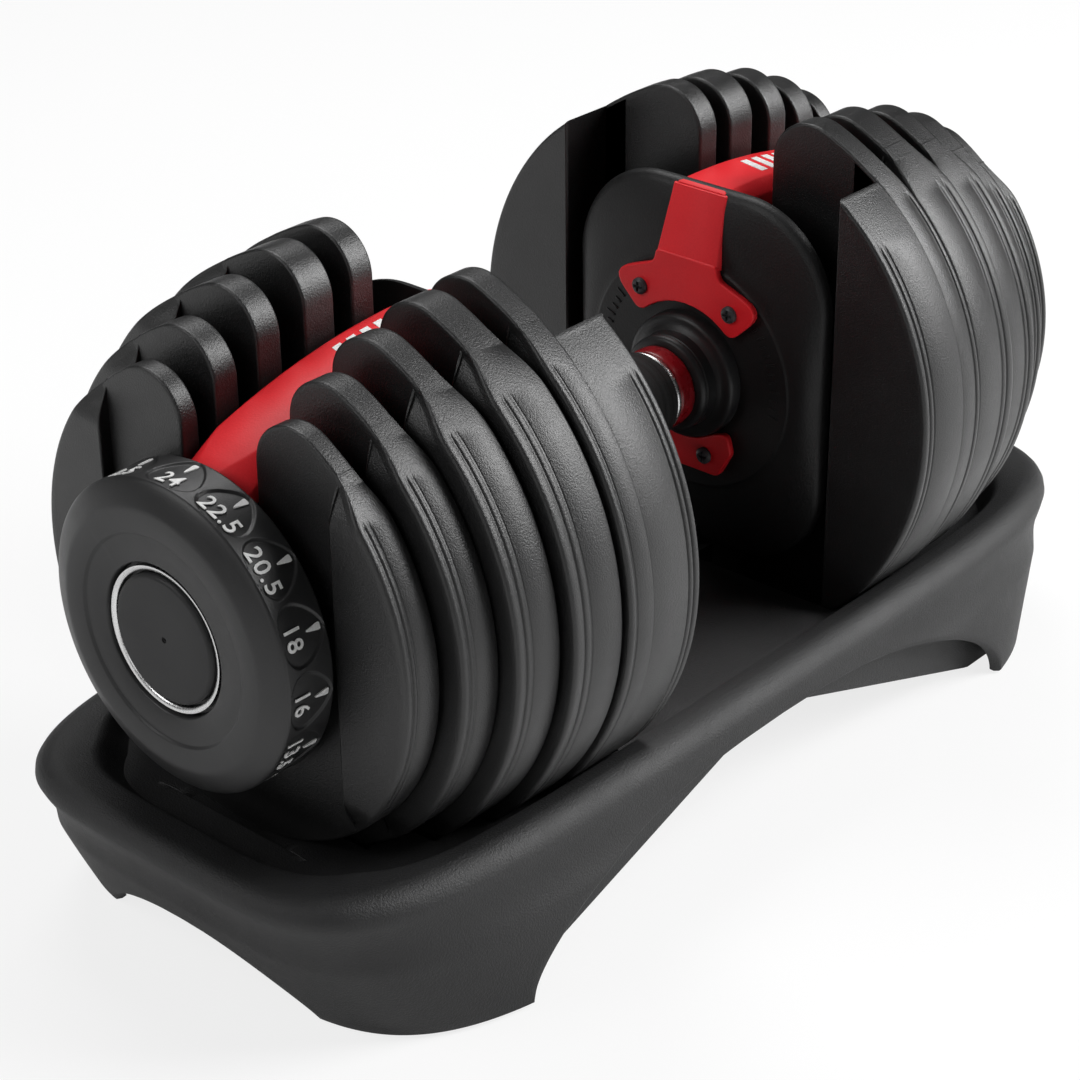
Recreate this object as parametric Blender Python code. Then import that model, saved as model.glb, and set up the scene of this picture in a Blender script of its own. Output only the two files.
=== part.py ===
"""Adjustable dial dumbbell in its storage tray, docked, with every plate hooked.

The handle runs along X at AXIS_Z above the floor and both ends are alike, so each
end piece is modelled at +X and the near copy is turned half a turn about Z.
All sizes are in metres.
"""

import math

import bmesh
import bpy
from mathutils import Matrix

# Driving sizes
AXIS_Z = 0.128
CLEAR = 0.0003
RUN = 0.0005
RIM_GAP = 0.0016

# Plates, from the outermost to the innermost: rim radius, how far the rim reaches
# inwards past the core, core thickness, how far the rim reaches outwards past it
PLATES = (
    (0.0822, 0.0029, 0.0072, 0.0044),
    (0.0903, 0.0019, 0.0100, 0.0029),
    (0.0975, 0.0040, 0.0105, 0.0051),
    (0.1020, 0.0044, 0.0134, 0.0048),
    (0.1037, 0.0225, 0.0100, 0.0021),
)
CHANNEL_HALF = 0.0515
LUMP_HALF = 0.0620
LUMP_STEP = 0.0025
SLOT_HALF = 0.0165
HORN_ROUND = 0.0165
RIM_CHAMFER = 0.0022
PLATE_SIDES = 40
DISC_SIDES = 20
DIAL_SIDES = 36

# Selector discs
FIRST_SPACE = 0.0159
DISC_RADIUS = 0.043
COLLAR_WALL = 0.004
DISC_WEB = 0.0030
HUB_RADIUS = 0.0125
NECK_RADIUS = 0.0095
TAB_REACH = 0.0030
TAB_DEPTH = 0.0060
TAB_HALF = 0.0060
TAB_CLEAR = 0.0007
NOTCH_HALF = 0.0075
NOTCH_TURNS = ((48, 168, 288), (72, 144, 312), (96, 216), (120, 240), (144, 264))

# Handle
COVER_FACE_X = 0.0599
COVER_THICK = 0.0095
COVER_HALF_Y = 0.0575
COVER_HALF_Z = 0.072
COVER_CORNER = 0.045
COVER_SHOULDER = 0.0025
AXLE_RADIUS = 0.006
TUBE_RADIUS = 0.0140
GRIP_RADIUS = 0.0175
GRIP_HALF = 0.0345
RING_RADIUS = 0.0155
RING_LENGTH = 0.0100
FLANGE_RADIUS = 0.0245
FLANGE_LENGTH = 0.0054
FERRULE_RADIUS = 0.0185

# Red brackets
BRIDGE_HALF = 0.0145
STEM_TOP = 0.0160
STEM_WAIST = 0.0135
BRIDGE_SKIN = 0.0040
BRIDGE_WALL = 0.0030
BRIDGE_DEPTH = 0.0085
BRIDGE_INNER_Z = 0.0720
BRIDGE_OUTER_Z = 0.0530
LEG_THICK = 0.0052
PAD_THICK = 0.0030
UPPER_SCREW = (0.0208, 0.0300)
LOWER_SCREW = (0.0108, -0.0298)
SCREW_HEAD = 0.0032
SCREW_SHANK = 0.0016
SCREW_LENGTH = 0.0080

# Dials
DIAL_RADIUS = 0.0535
DIAL_DEPTH = 0.0229
DIAL_WEB = 0.0035
CAP_RADIUS = 0.0225
GROOVE_WIDTH = 0.0027
NUT_RADIUS = 0.0095
NUT_LENGTH = 0.0055

# Lock pins and their springs
PIN_RADIUS = 0.0020
PIN_COLLAR = 0.0031
PIN_LENGTH = 0.0230
PIN_PROUD = 0.0020
PIN_STROKE = 0.0040
POCKET_RADIUS = 0.0037
SPRING_WIRE = 0.0009
SPRING_TURNS = 5

# Tray
TRAY_HALF_X = 0.215
TRAY_HALF_Y = 0.0925
TRAY_RIM_Z = 0.060
TRAY_FOOT_Z = 0.0016
TRAY_DRAFT_X = 0.024
TRAY_DRAFT_Y = 0.001
TRAY_WALL = 0.0040
DECK_Z = 0.050
LIP_WIDTH = 0.013
SQUARENESS = 5.2
ARCH_Z = 0.046
ARCH_HALF_X = 0.131
END_ARCH_Z = 0.026
END_ARCH_HALF_Y = 0.052
ARCH_SWEEP = 0.060
END_ARCH_SWEEP = 0.020
SKIRT_REACH_X = 0.040
SKIRT_REACH_Y = 0.020
POST_HALF = 0.0055
FOOT_RADIUS = 0.0090
FOOT_HEIGHT = 0.0030
FOOT_X = 0.158
FOOT_Y = 0.066
TRAY_POINTS = 56
WELL_SIDES = 48

parts = None
cutters = None


def clear_scene():
    for obj in list(bpy.data.objects):
        bpy.data.objects.remove(obj)


def collection(name):
    made = bpy.data.collections.new(name)
    bpy.context.scene.collection.children.link(made)
    return made


def material(name, colour, roughness, metallic=0.0):
    found = bpy.data.materials.get(name)
    if found:
        return found
    made = bpy.data.materials.new(name)
    made.use_nodes = True
    shader = made.node_tree.nodes["Principled BSDF"]
    shader.inputs["Base Color"].default_value = (*colour, 1.0)
    shader.inputs["Roughness"].default_value = roughness
    shader.inputs["Metallic"].default_value = metallic
    return made


LOOKS = {
    "black_plastic": ((0.020, 0.020, 0.021), 0.55, 0.0),
    "dark_plastic": ((0.035, 0.035, 0.036), 0.50, 0.0),
    "plate_coat": ((0.016, 0.016, 0.017), 0.48, 0.0),
    "red_plastic": ((0.72, 0.010, 0.018), 0.38, 0.0),
    "rubber": ((0.012, 0.012, 0.012), 0.80, 0.0),
    "steel": ((0.56, 0.57, 0.58), 0.28, 1.0),
    "bright_ring": ((0.80, 0.80, 0.80), 0.30, 0.6),
    "nylon": ((0.10, 0.10, 0.105), 0.45, 0.0),
}


def add(name, build, look=None, at=(0.0, 0.0, 0.0), smooth=True):
    """Puts a bmesh into the scene: as a piece when it has a look, else as a cutter."""
    bmesh.ops.recalc_face_normals(build, faces=build.faces)
    mesh = bpy.data.meshes.new(name)
    build.to_mesh(mesh)
    build.free()
    obj = bpy.data.objects.new(name, mesh)
    obj.location = at
    if look:
        mesh.materials.append(material(look, *LOOKS[look]))
        for face in mesh.polygons:
            face.use_smooth = smooth
        parts.objects.link(obj)
    else:
        obj.hide_render = True
        obj.display_type = "WIRE"
        cutters.objects.link(obj)
    return obj


def boolean(target, other, operation="DIFFERENCE"):
    modifier = target.modifiers.new(operation.lower() + "_" + other.name, "BOOLEAN")
    modifier.operation = operation
    modifier.solver = "EXACT"
    modifier.object = other
    return target


def turned(profile, sides, phase=0.0):
    """A solid turned about the X axis from a closed (x, radius) outline."""
    build = bmesh.new()
    rings = []
    for x, radius in profile:
        if radius == 0.0:
            rings.append([build.verts.new((x, 0.0, 0.0))] * sides)
            continue
        turns = [phase + math.tau * i / sides for i in range(sides)]
        places = [(x, radius * math.cos(a), radius * math.sin(a)) for a in turns]
        rings.append([build.verts.new(place) for place in places])
    for here, there in zip(rings, rings[1:] + rings[:1]):
        for i in range(sides):
            j = (i + 1) % sides
            corners = []
            for vert in (here[i], here[j], there[j], there[i]):
                if vert not in corners:
                    corners.append(vert)
            if len(corners) > 2:
                build.faces.new(corners)
    return build


def rod(radius, start, end, sides):
    """A plain round bar along X."""
    return turned(((end, 0.0), (end, radius), (start, radius), (start, 0.0)), sides)


def extruded(outline, start, end, axis="X"):
    """A prism of a closed outline between two planes across the axis."""
    build = bmesh.new()
    if axis == "X":
        place = lambda a, b, c: (c, a, b)
    elif axis == "Y":
        place = lambda a, b, c: (a, c, b)
    else:
        place = lambda a, b, c: (a, b, c)
    low = [build.verts.new(place(a, b, start)) for a, b in outline]
    high = [build.verts.new(place(a, b, end)) for a, b in outline]
    build.faces.new(low)
    build.faces.new(high)
    for i in range(len(outline)):
        j = (i + 1) % len(outline)
        build.faces.new((low[i], low[j], high[j], high[i]))
    return build


def lofted(sections):
    """A solid through level outlines with equal numbers of points, as (outline, z)."""
    build = bmesh.new()
    rings = [[build.verts.new((x, y, z)) for x, y in outline] for outline, z in sections]
    build.faces.new(rings[0])
    build.faces.new(rings[-1])
    for here, there in zip(rings, rings[1:]):
        for i in range(len(here)):
            j = (i + 1) % len(here)
            build.faces.new((here[i], here[j], there[j], there[i]))
    return build


def box(x0, x1, y0, y1, z0, z1):
    return extruded(((x0, y0), (x1, y0), (x1, y1), (x0, y1)), z0, z1, "Z")


def arc(centre, radius, start, end, steps):
    """Points on an arc, with the angles in degrees."""
    angles = [math.radians(start + (end - start) * i / steps) for i in range(steps + 1)]
    return [(centre[0] + radius * math.cos(a), centre[1] + radius * math.sin(a)) for a in angles]


def mirrored(half):
    """A closed outline from its right-hand half, which runs anticlockwise."""
    return list(half) + [(-a, b) for a, b in reversed(half) if abs(a) > 1e-9]


def at_end(obj, suffix):
    """The far copy keeps its place and the near copy is turned half a turn about Z."""
    if suffix == "near":
        obj.data.transform(Matrix.Rotation(math.pi, 4, "Z"))
    return obj


def stack():
    """Where each plate's rim and core start and end along X, outermost plate first."""
    rows = []
    x = COVER_FACE_X + COVER_THICK + FIRST_SPACE
    for number in range(len(PLATES) - 1, -1, -1):
        radius, inwards, core, outwards = PLATES[number]
        rows.append((radius, x - inwards, x, x + core, x + core + outwards))
        if number:
            x += core + outwards + RIM_GAP + PLATES[number - 1][1]
    return rows[::-1]


STACK = stack()
LEG_X = STACK[0][3] + RUN
DIAL_X = LEG_X + LEG_THICK + RUN
DIAL_FACE_X = DIAL_X + DIAL_DEPTH
TAB_OUTER = (DISC_RADIUS - COLLAR_WALL) * math.cos(math.pi / DISC_SIDES) - TAB_CLEAR


def slot_outline(top):
    """The open-topped slot in a plate, flared into the rounded tops of its two horns."""
    flare_z = top - HORN_ROUND
    half = arc((0.0, 0.0), SLOT_HALF, -90, 0, 4)
    half += arc((SLOT_HALF + HORN_ROUND, flare_z), HORN_ROUND, 180, 90, 5)
    half += [(SLOT_HALF + HORN_ROUND, top + 0.02)]
    return mirrored(half)


def plate(number, suffix):
    """One weight plate: a full rim, a thin core with two horns, and a hook tab."""
    radius, rim_in, core_in, core_out, rim_out = STACK[number - 1]
    inner = radius - RIM_CHAMFER * 2
    profile = [(rim_out, 0.0), (rim_out, inner), (rim_out - RIM_CHAMFER, radius)]
    lump = number == len(PLATES)
    if lump:
        profile += [(core_in, radius), (core_in - LUMP_STEP, radius - LUMP_STEP)]
        profile += [(rim_in + 2 * LUMP_STEP, radius - LUMP_STEP), (rim_in, radius - 3 * LUMP_STEP)]
    else:
        profile += [(rim_in + RIM_CHAMFER, radius), (rim_in, inner)]
    profile += [(rim_in, 0.0)]
    at = (0.0, 0.0, AXIS_Z)
    name = f"plate_{number}_{suffix}"
    blank = turned(profile, PLATE_SIDES, math.pi / PLATE_SIDES)
    obj = at_end(add(name, blank, "plate_coat", at), suffix)
    top = radius * 1.2
    half = LUMP_HALF if lump else CHANNEL_HALF
    cuts = {
        "back": box(rim_in - 0.01, core_in, -half, half, -top, top),
        "slot": extruded(slot_outline(radius - 0.001), rim_in - 0.01, rim_out + 0.01),
    }
    if rim_out > core_out:
        cuts["front"] = box(core_out, rim_out + 0.01, -CHANNEL_HALF, CHANNEL_HALF, -top, top)
    for what, build in cuts.items():
        boolean(obj, at_end(add(f"{name}_{what}", build, None, at), suffix))
    foot = -math.sqrt(TAB_OUTER**2 - TAB_HALF**2)
    tab = box(core_in - TAB_REACH, core_in + 0.001, -TAB_HALF, TAB_HALF, foot, foot + TAB_DEPTH)
    return boolean(obj, at_end(add(f"{name}_tab", tab, None, at), suffix), "UNION")


def disc(number, suffix):
    """One selector disc: a hub that keys to its neighbours and a notched hook collar."""
    core_in, core_out = STACK[number - 1][2:4]
    start = COVER_FACE_X + COVER_THICK if number == len(PLATES) else STACK[number][3]
    start += RUN
    hub_end = core_out + RUN - CLEAR if number > 1 else DIAL_X - CLEAR
    web_out = core_in - TAB_REACH - RUN
    web_in = max(start + RUN, web_out - DISC_WEB)
    collar_out = core_in - 2 * RUN
    bore = AXLE_RADIUS + CLEAR
    collar = DISC_RADIUS - COLLAR_WALL
    neck = [(hub_end, bore), (hub_end, HUB_RADIUS)]
    if number == 1:
        step = LEG_X - RUN
        neck = [(hub_end, bore), (hub_end, NECK_RADIUS), (step, NECK_RADIUS), (step, HUB_RADIUS)]
    profile = neck + [(web_out, HUB_RADIUS), (web_out, collar), (collar_out, collar)]
    profile += [(collar_out, DISC_RADIUS), (web_in, DISC_RADIUS), (web_in, HUB_RADIUS)]
    profile += [(start, HUB_RADIUS), (start, bore)]
    name = f"selector_disc_{number}_{suffix}"
    at = (0.0, 0.0, AXIS_Z)
    obj = at_end(add(name, turned(profile, DISC_SIDES), "nylon", at), suffix)
    for turn in NOTCH_TURNS[number - 1]:
        build = box(web_out + RUN, core_in, -NOTCH_HALF, NOTCH_HALF, -DISC_RADIUS - 0.002, 0.002 - collar)
        bmesh.ops.transform(build, matrix=Matrix.Rotation(math.radians(turn), 4, "X"), verts=build.verts)
        boolean(obj, at_end(add(f"{name}_notch_{turn}", build, None, at), suffix))
    return obj


def cover(suffix):
    """The inner end cover: a rounded-square plate that carries both red brackets."""
    back = COVER_FACE_X + COVER_THICK
    corner = (COVER_HALF_Y - COVER_CORNER, COVER_HALF_Z - COVER_CORNER)
    half = [(0.0, -COVER_HALF_Z)]
    half += arc((corner[0], -corner[1]), COVER_CORNER, -90, 0, 7)
    half += arc(corner, COVER_CORNER, 0, 90, 7)
    outline = mirrored(half + [(0.0, COVER_HALF_Z)])
    inset = 1.0 - 2 * COVER_SHOULDER / COVER_HALF_Y
    face = [(a * inset, b * inset) for a, b in outline]
    build = bmesh.new()
    rings = []
    for points, x in ((face, COVER_FACE_X), (outline, COVER_FACE_X + COVER_SHOULDER), (outline, back)):
        rings.append([build.verts.new((x, a, b)) for a, b in points])
    build.faces.new(rings[0])
    build.faces.new(rings[-1])
    for here, there in zip(rings, rings[1:]):
        for i in range(len(here)):
            j = (i + 1) % len(here)
            build.faces.new((here[i], here[j], there[j], there[i]))
    at = (0.0, 0.0, AXIS_Z)
    obj = at_end(add(f"inner_cover_{suffix}", build, "black_plastic", at, False), suffix)
    bore = rod(TUBE_RADIUS + CLEAR, COVER_FACE_X - 0.01, back + 0.01, 24)
    boolean(obj, at_end(add(f"cover_bore_{suffix}", bore, None, at), suffix))
    seat_z = bridge_under(back) - 2 * RUN
    side = BRIDGE_HALF + RUN
    seat = box(COVER_FACE_X - 0.01, back + 0.01, -side, side, seat_z, COVER_HALF_Z + 0.01)
    boolean(obj, at_end(add(f"cover_seat_{suffix}", seat, None, at), suffix))
    for label, (y, z) in screw_places():
        hole = rod(SCREW_SHANK + CLEAR, -0.01, SCREW_LENGTH + 2 * RUN, 10)
        bmesh.ops.translate(hole, vec=(COVER_FACE_X - PAD_THICK, y, z), verts=hole.verts)
        boolean(obj, at_end(add(f"cover_hole_{label}_{suffix}", hole, None, at), suffix))
    pocket = pin_solid(POCKET_RADIUS, -COVER_HALF_Z - 0.01, PIN_LENGTH - COVER_HALF_Z + CLEAR)
    return boolean(obj, at_end(add(f"cover_pocket_{suffix}", pocket, None, at), suffix))


def screw_places():
    places = []
    for row, (y, z) in (("upper", UPPER_SCREW), ("lower", LOWER_SCREW)):
        places += [(f"{row}_left", (y, z)), (f"{row}_right", (-y, z))]
    return places


def pin_solid(radius, low, high, steps=12):
    """An upright round solid in the middle of the cover's thickness."""
    x = COVER_FACE_X + COVER_THICK / 2
    return extruded([(x + a, b) for a, b in arc((0.0, 0.0), radius, 0, 360, steps)[:-1]], low, high, "Z")


def bridge_under(x):
    """Height above the axis of the sloping underside of the red bridge."""
    inner = COVER_FACE_X - CLEAR - PAD_THICK / 2
    fall = (BRIDGE_INNER_Z - BRIDGE_OUTER_Z) / (LEG_X - inner)
    return BRIDGE_INNER_Z - BRIDGE_DEPTH - fall * (x - inner)


def bridge(suffix):
    """The red beam over the plates, its outer leg on the axle and its screwed pad."""
    front = COVER_FACE_X - CLEAR - PAD_THICK
    inner = front + PAD_THICK / 2
    outer = LEG_X + LEG_THICK
    round_off = 0.003
    low_in = BRIDGE_INNER_Z - BRIDGE_DEPTH
    low_out = BRIDGE_OUTER_Z - BRIDGE_DEPTH
    at = (0.0, 0.0, AXIS_Z)
    y, z = UPPER_SCREW
    half = arc((0.0, 0.0), FLANGE_RADIUS + 0.004, 90, 43, 5)
    half += arc((y + 0.005, z - 0.0055), 0.0055, -80, 20, 4)
    half += arc((y + 0.005, z), 0.0055, 20, 75, 3)
    half += [(STEM_WAIST, low_in - 0.018), (STEM_TOP, low_in), (STEM_TOP, BRIDGE_INNER_Z - round_off)]
    half += [(0.0, BRIDGE_INNER_Z - round_off)]
    pad = extruded(mirrored(half), front, COVER_FACE_X - CLEAR)
    obj = at_end(add(f"red_bridge_{suffix}", pad, "red_plastic", at, False), suffix)
    side = [
        (inner, low_in), (LEG_X, low_out), (LEG_X, -HUB_RADIUS),
        (outer, -HUB_RADIUS), (outer, BRIDGE_OUTER_Z - round_off), (outer - round_off, BRIDGE_OUTER_Z),
        (COVER_FACE_X + round_off, BRIDGE_INNER_Z), (inner, BRIDGE_INNER_Z),
    ]
    beam = add(f"bridge_beam_{suffix}", extruded(side, -BRIDGE_HALF, BRIDGE_HALF, "Y"), None, at)
    boolean(obj, at_end(beam, suffix), "UNION")
    hollow_in = COVER_FACE_X + BRIDGE_WALL
    hollow_out = LEG_X - BRIDGE_WALL
    hollow = [
        (hollow_in, BRIDGE_INNER_Z - BRIDGE_SKIN), (hollow_in, low_out - BRIDGE_DEPTH),
        (hollow_out, low_out - BRIDGE_DEPTH), (hollow_out, BRIDGE_OUTER_Z - BRIDGE_SKIN),
    ]
    inside = BRIDGE_HALF - BRIDGE_WALL
    cut = add(f"bridge_hollow_{suffix}", extruded(hollow, -inside, inside, "Y"), None, at)
    boolean(obj, at_end(cut, suffix))
    neck = rod(NECK_RADIUS + CLEAR, LEG_X - 0.001, outer + 0.01, 24)
    boolean(obj, at_end(add(f"bridge_neck_{suffix}", neck, None, at), suffix))
    return screw_holes(obj, "upper", suffix)


def screw_holes(obj, row, suffix):
    for label, (y, z) in screw_places():
        if label.startswith(row):
            hole = rod(SCREW_SHANK + CLEAR, -0.01, 0.01, 10)
            bmesh.ops.translate(hole, vec=(COVER_FACE_X - PAD_THICK / 2, y, z), verts=hole.verts)
            cut = add(f"pad_hole_{label}_{suffix}", hole, None, (0.0, 0.0, AXIS_Z))
            boolean(obj, at_end(cut, suffix))
    return obj


def lower_bracket(suffix):
    """The small red pad below the hub."""
    y, z = LOWER_SCREW
    half = arc((0.0, 0.0), FLANGE_RADIUS + 0.001, -90, -50, 5)
    half += arc((y + 0.006, z + 0.004), 0.0045, 40, -20, 3)
    half += arc((y + 0.002, z - 0.001), 0.0065, -20, -90, 4)
    half += [(0.0, z - 0.0085)]
    outline = mirrored(half)
    front = COVER_FACE_X - CLEAR - PAD_THICK
    at = (0.0, 0.0, AXIS_Z)
    build = extruded(outline, front, COVER_FACE_X - CLEAR)
    obj = at_end(add(f"lower_bracket_{suffix}", build, "red_plastic", at, False), suffix)
    return screw_holes(obj, "lower", suffix)


def screw(label, y, z, suffix):
    """A pan-head screw that holds a red pad to the inner cover."""
    seat = COVER_FACE_X - 2 * CLEAR - PAD_THICK
    profile = [
        (seat - 0.0016, 0.0), (seat - 0.0016, SCREW_HEAD - 0.0006), (seat - 0.0010, SCREW_HEAD),
        (seat, SCREW_HEAD), (seat, SCREW_SHANK),
        (seat + SCREW_LENGTH, SCREW_SHANK), (seat + SCREW_LENGTH, 0.0),
    ]
    build = turned(profile, 10)
    bmesh.ops.translate(build, vec=(0.0, y, z), verts=build.verts)
    return at_end(add(f"screw_{label}_{suffix}", build, "steel", (0.0, 0.0, AXIS_Z)), suffix)


def dial(suffix):
    """The selector dial, hollow in front for its nut and cap."""
    back, face = DIAL_X, DIAL_FACE_X
    groove = CAP_RADIUS + GROOVE_WIDTH
    bore = AXLE_RADIUS + CLEAR
    well = NUT_RADIUS + 2 * RUN
    shelf = back + DIAL_WEB + NUT_LENGTH + 4 * RUN
    profile = [
        (back, bore), (back, DIAL_RADIUS - 0.0015), (back + 0.0035, DIAL_RADIUS),
        (face - 0.0070, DIAL_RADIUS), (face - 0.0025, DIAL_RADIUS - 0.0025), (face, DIAL_RADIUS - 0.0075),
        (face, DIAL_RADIUS - 0.0150), (face - 0.0010, DIAL_RADIUS - 0.0165), (face - 0.0010, groove),
        (shelf, groove), (shelf, well), (back + DIAL_WEB, well), (back + DIAL_WEB, bore),
    ]
    at = (0.0, 0.0, AXIS_Z)
    at_end(add(f"dial_{suffix}", turned(profile, DIAL_SIDES), "black_plastic", at), suffix)
    nut_in = back + DIAL_WEB + CLEAR
    nut = rod(NUT_RADIUS, nut_in, nut_in + NUT_LENGTH, 6)
    obj = at_end(add(f"dial_nut_{suffix}", nut, "steel", at, False), suffix)
    hole = rod(bore, back, face, 20)
    boolean(obj, at_end(add(f"nut_hole_{suffix}", hole, None, at), suffix))
    cap_in = shelf + CLEAR
    cap = [
        (cap_in, 0.0), (cap_in, CAP_RADIUS), (face - 0.0025, CAP_RADIUS),
        (face - 0.0010, CAP_RADIUS - 0.0015), (face - 0.0005, 0.0),
    ]
    at_end(add(f"end_cap_{suffix}", turned(cap, 32), "dark_plastic", at), suffix)
    low, high = CAP_RADIUS + CLEAR, groove - CLEAR
    ring = [(cap_in, low), (cap_in, high), (face - 0.0030, high), (face - 0.0030, low)]
    at_end(add(f"dial_ring_{suffix}", turned(ring, 32), "bright_ring", at), suffix)


def hub(suffix):
    """The grey flange with its black ferrule, and the red ring beside it."""
    face = COVER_FACE_X - CLEAR
    bore = TUBE_RADIUS + CLEAR
    shoulder = face - FLANGE_LENGTH
    end = GRIP_HALF + 2 * CLEAR + RING_LENGTH
    profile = [
        (face, bore), (face, FLANGE_RADIUS), (shoulder + 0.001, FLANGE_RADIUS - 0.0010),
        (shoulder, FLANGE_RADIUS - 0.0025), (shoulder, FERRULE_RADIUS),
        (end + 0.0015, FERRULE_RADIUS), (end, FERRULE_RADIUS - 0.0015), (end, bore),
    ]
    at = (0.0, 0.0, AXIS_Z)
    at_end(add(f"hub_collar_{suffix}", turned(profile, 28), "dark_plastic", at), suffix)
    start = GRIP_HALF + CLEAR
    stop = start + RING_LENGTH
    ring = [(start, bore), (start, RING_RADIUS), (stop, RING_RADIUS), (stop, bore)]
    at_end(add(f"grip_ring_{suffix}", turned(ring, 28), "red_plastic", at), suffix)


def lock(suffix):
    """The spring-loaded pin that the tray's post holds in, which frees the dial."""
    low = -COVER_HALF_Z - PIN_PROUD
    collar = -COVER_HALF_Z + PIN_STROKE + 0.0030
    top = PIN_LENGTH - COVER_HALF_Z - CLEAR
    x = COVER_FACE_X + COVER_THICK / 2
    profile = [
        (low, 0.0), (low, PIN_RADIUS), (collar - 0.0020, PIN_RADIUS), (collar - 0.0020, PIN_COLLAR),
        (collar, PIN_COLLAR), (collar, PIN_RADIUS), (top - PIN_STROKE, PIN_RADIUS), (top - PIN_STROKE, 0.0),
    ]
    build = turned(profile, 10)
    upright = Matrix.Translation((x, 0.0, 0.0)) @ Matrix.Rotation(-math.pi / 2, 4, "Y")
    bmesh.ops.transform(build, matrix=upright, verts=build.verts)
    at = (0.0, 0.0, AXIS_Z)
    at_end(add(f"lock_pin_{suffix}", build, "steel", at), suffix)
    coil_low = collar + CLEAR + SPRING_WIRE / 2
    coil_high = top - SPRING_WIRE / 2
    radius = (PIN_RADIUS + POCKET_RADIUS) / 2
    curve = bpy.data.curves.new(f"lock_spring_{suffix}", "CURVE")
    curve.dimensions = "3D"
    curve.bevel_depth = SPRING_WIRE / 2
    curve.bevel_resolution = 0
    curve.use_fill_caps = True
    curve.materials.append(material("steel", *LOOKS["steel"]))
    count = SPRING_TURNS * 8
    line = curve.splines.new("POLY")
    line.points.add(count)
    side = -1.0 if suffix == "near" else 1.0
    for i, point in enumerate(line.points):
        angle = math.tau * SPRING_TURNS * i / count
        rise = coil_low + (coil_high - coil_low) * i / count
        point.co = (side * x + radius * math.cos(angle), radius * math.sin(angle), rise, 1.0)
    spring = bpy.data.objects.new(f"lock_spring_{suffix}", curve)
    spring.location = at
    parts.objects.link(spring)


def handle():
    """The axle through the whole dumbbell, the grip tube and the rubber grip."""
    at = (0.0, 0.0, AXIS_Z)
    end = DIAL_X + DIAL_WEB + NUT_LENGTH + 2 * RUN
    add("axle_rod", rod(AXLE_RADIUS, -end, end, 20), "steel", at)
    bore = AXLE_RADIUS + CLEAR
    half = COVER_FACE_X + COVER_THICK
    tube = ((half, bore), (half, TUBE_RADIUS), (-half, TUBE_RADIUS), (-half, bore))
    add("handle_tube", turned(tube, 24), "steel", at)
    bore = TUBE_RADIUS + CLEAR
    soft = 0.0015
    grip = [
        (GRIP_HALF, bore), (GRIP_HALF, GRIP_RADIUS - soft), (GRIP_HALF - soft, GRIP_RADIUS),
        (-GRIP_HALF + soft, GRIP_RADIUS), (-GRIP_HALF, GRIP_RADIUS - soft), (-GRIP_HALF, bore),
    ]
    add("rubber_grip", turned(grip, 28), "rubber", at)


def plan(half_x, half_y):
    """A rounded rectangle in plan, as a squared-off ellipse."""
    points = []
    for i in range(TRAY_POINTS):
        a = math.tau * (i + 0.5) / TRAY_POINTS
        c, s = math.cos(a), math.sin(a)
        points.append((
            half_x * math.copysign(abs(c) ** (2 / SQUARENESS), c),
            half_y * math.copysign(abs(s) ** (2 / SQUARENESS), s),
        ))
    return points


def arch_outline(half, crown, sweep):
    """An arched opening that starts below the floor."""
    rise = [(half + 0.004, -0.01), (half, 0.0)]
    for i in range(1, 7):
        t = i / 6
        rise.append((half - sweep * t, crown * math.sin(t * math.pi / 2)))
    return mirrored(rise)


def well_solid(grow):
    """The stepped trough under one end's plates, grown all round, turned about the handle's axis."""
    edges = [STACK[-1][1] - 2 * RUN - grow]
    edges += [row[1] - RIM_GAP / 2 + grow for row in STACK[-2::-1]]
    edges += [STACK[0][4] + 2 * RUN + grow]
    profile = [(edges[0], 0.0)]
    for row, start, stop in zip(reversed(STACK), edges, edges[1:]):
        reach = (row[0] + CLEAR) / math.cos(math.pi / WELL_SIDES) + grow
        profile += [(start, reach), (stop, reach)]
    profile += [(edges[-1], 0.0)]
    return turned(profile, WELL_SIDES, math.pi / WELL_SIDES)


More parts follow.
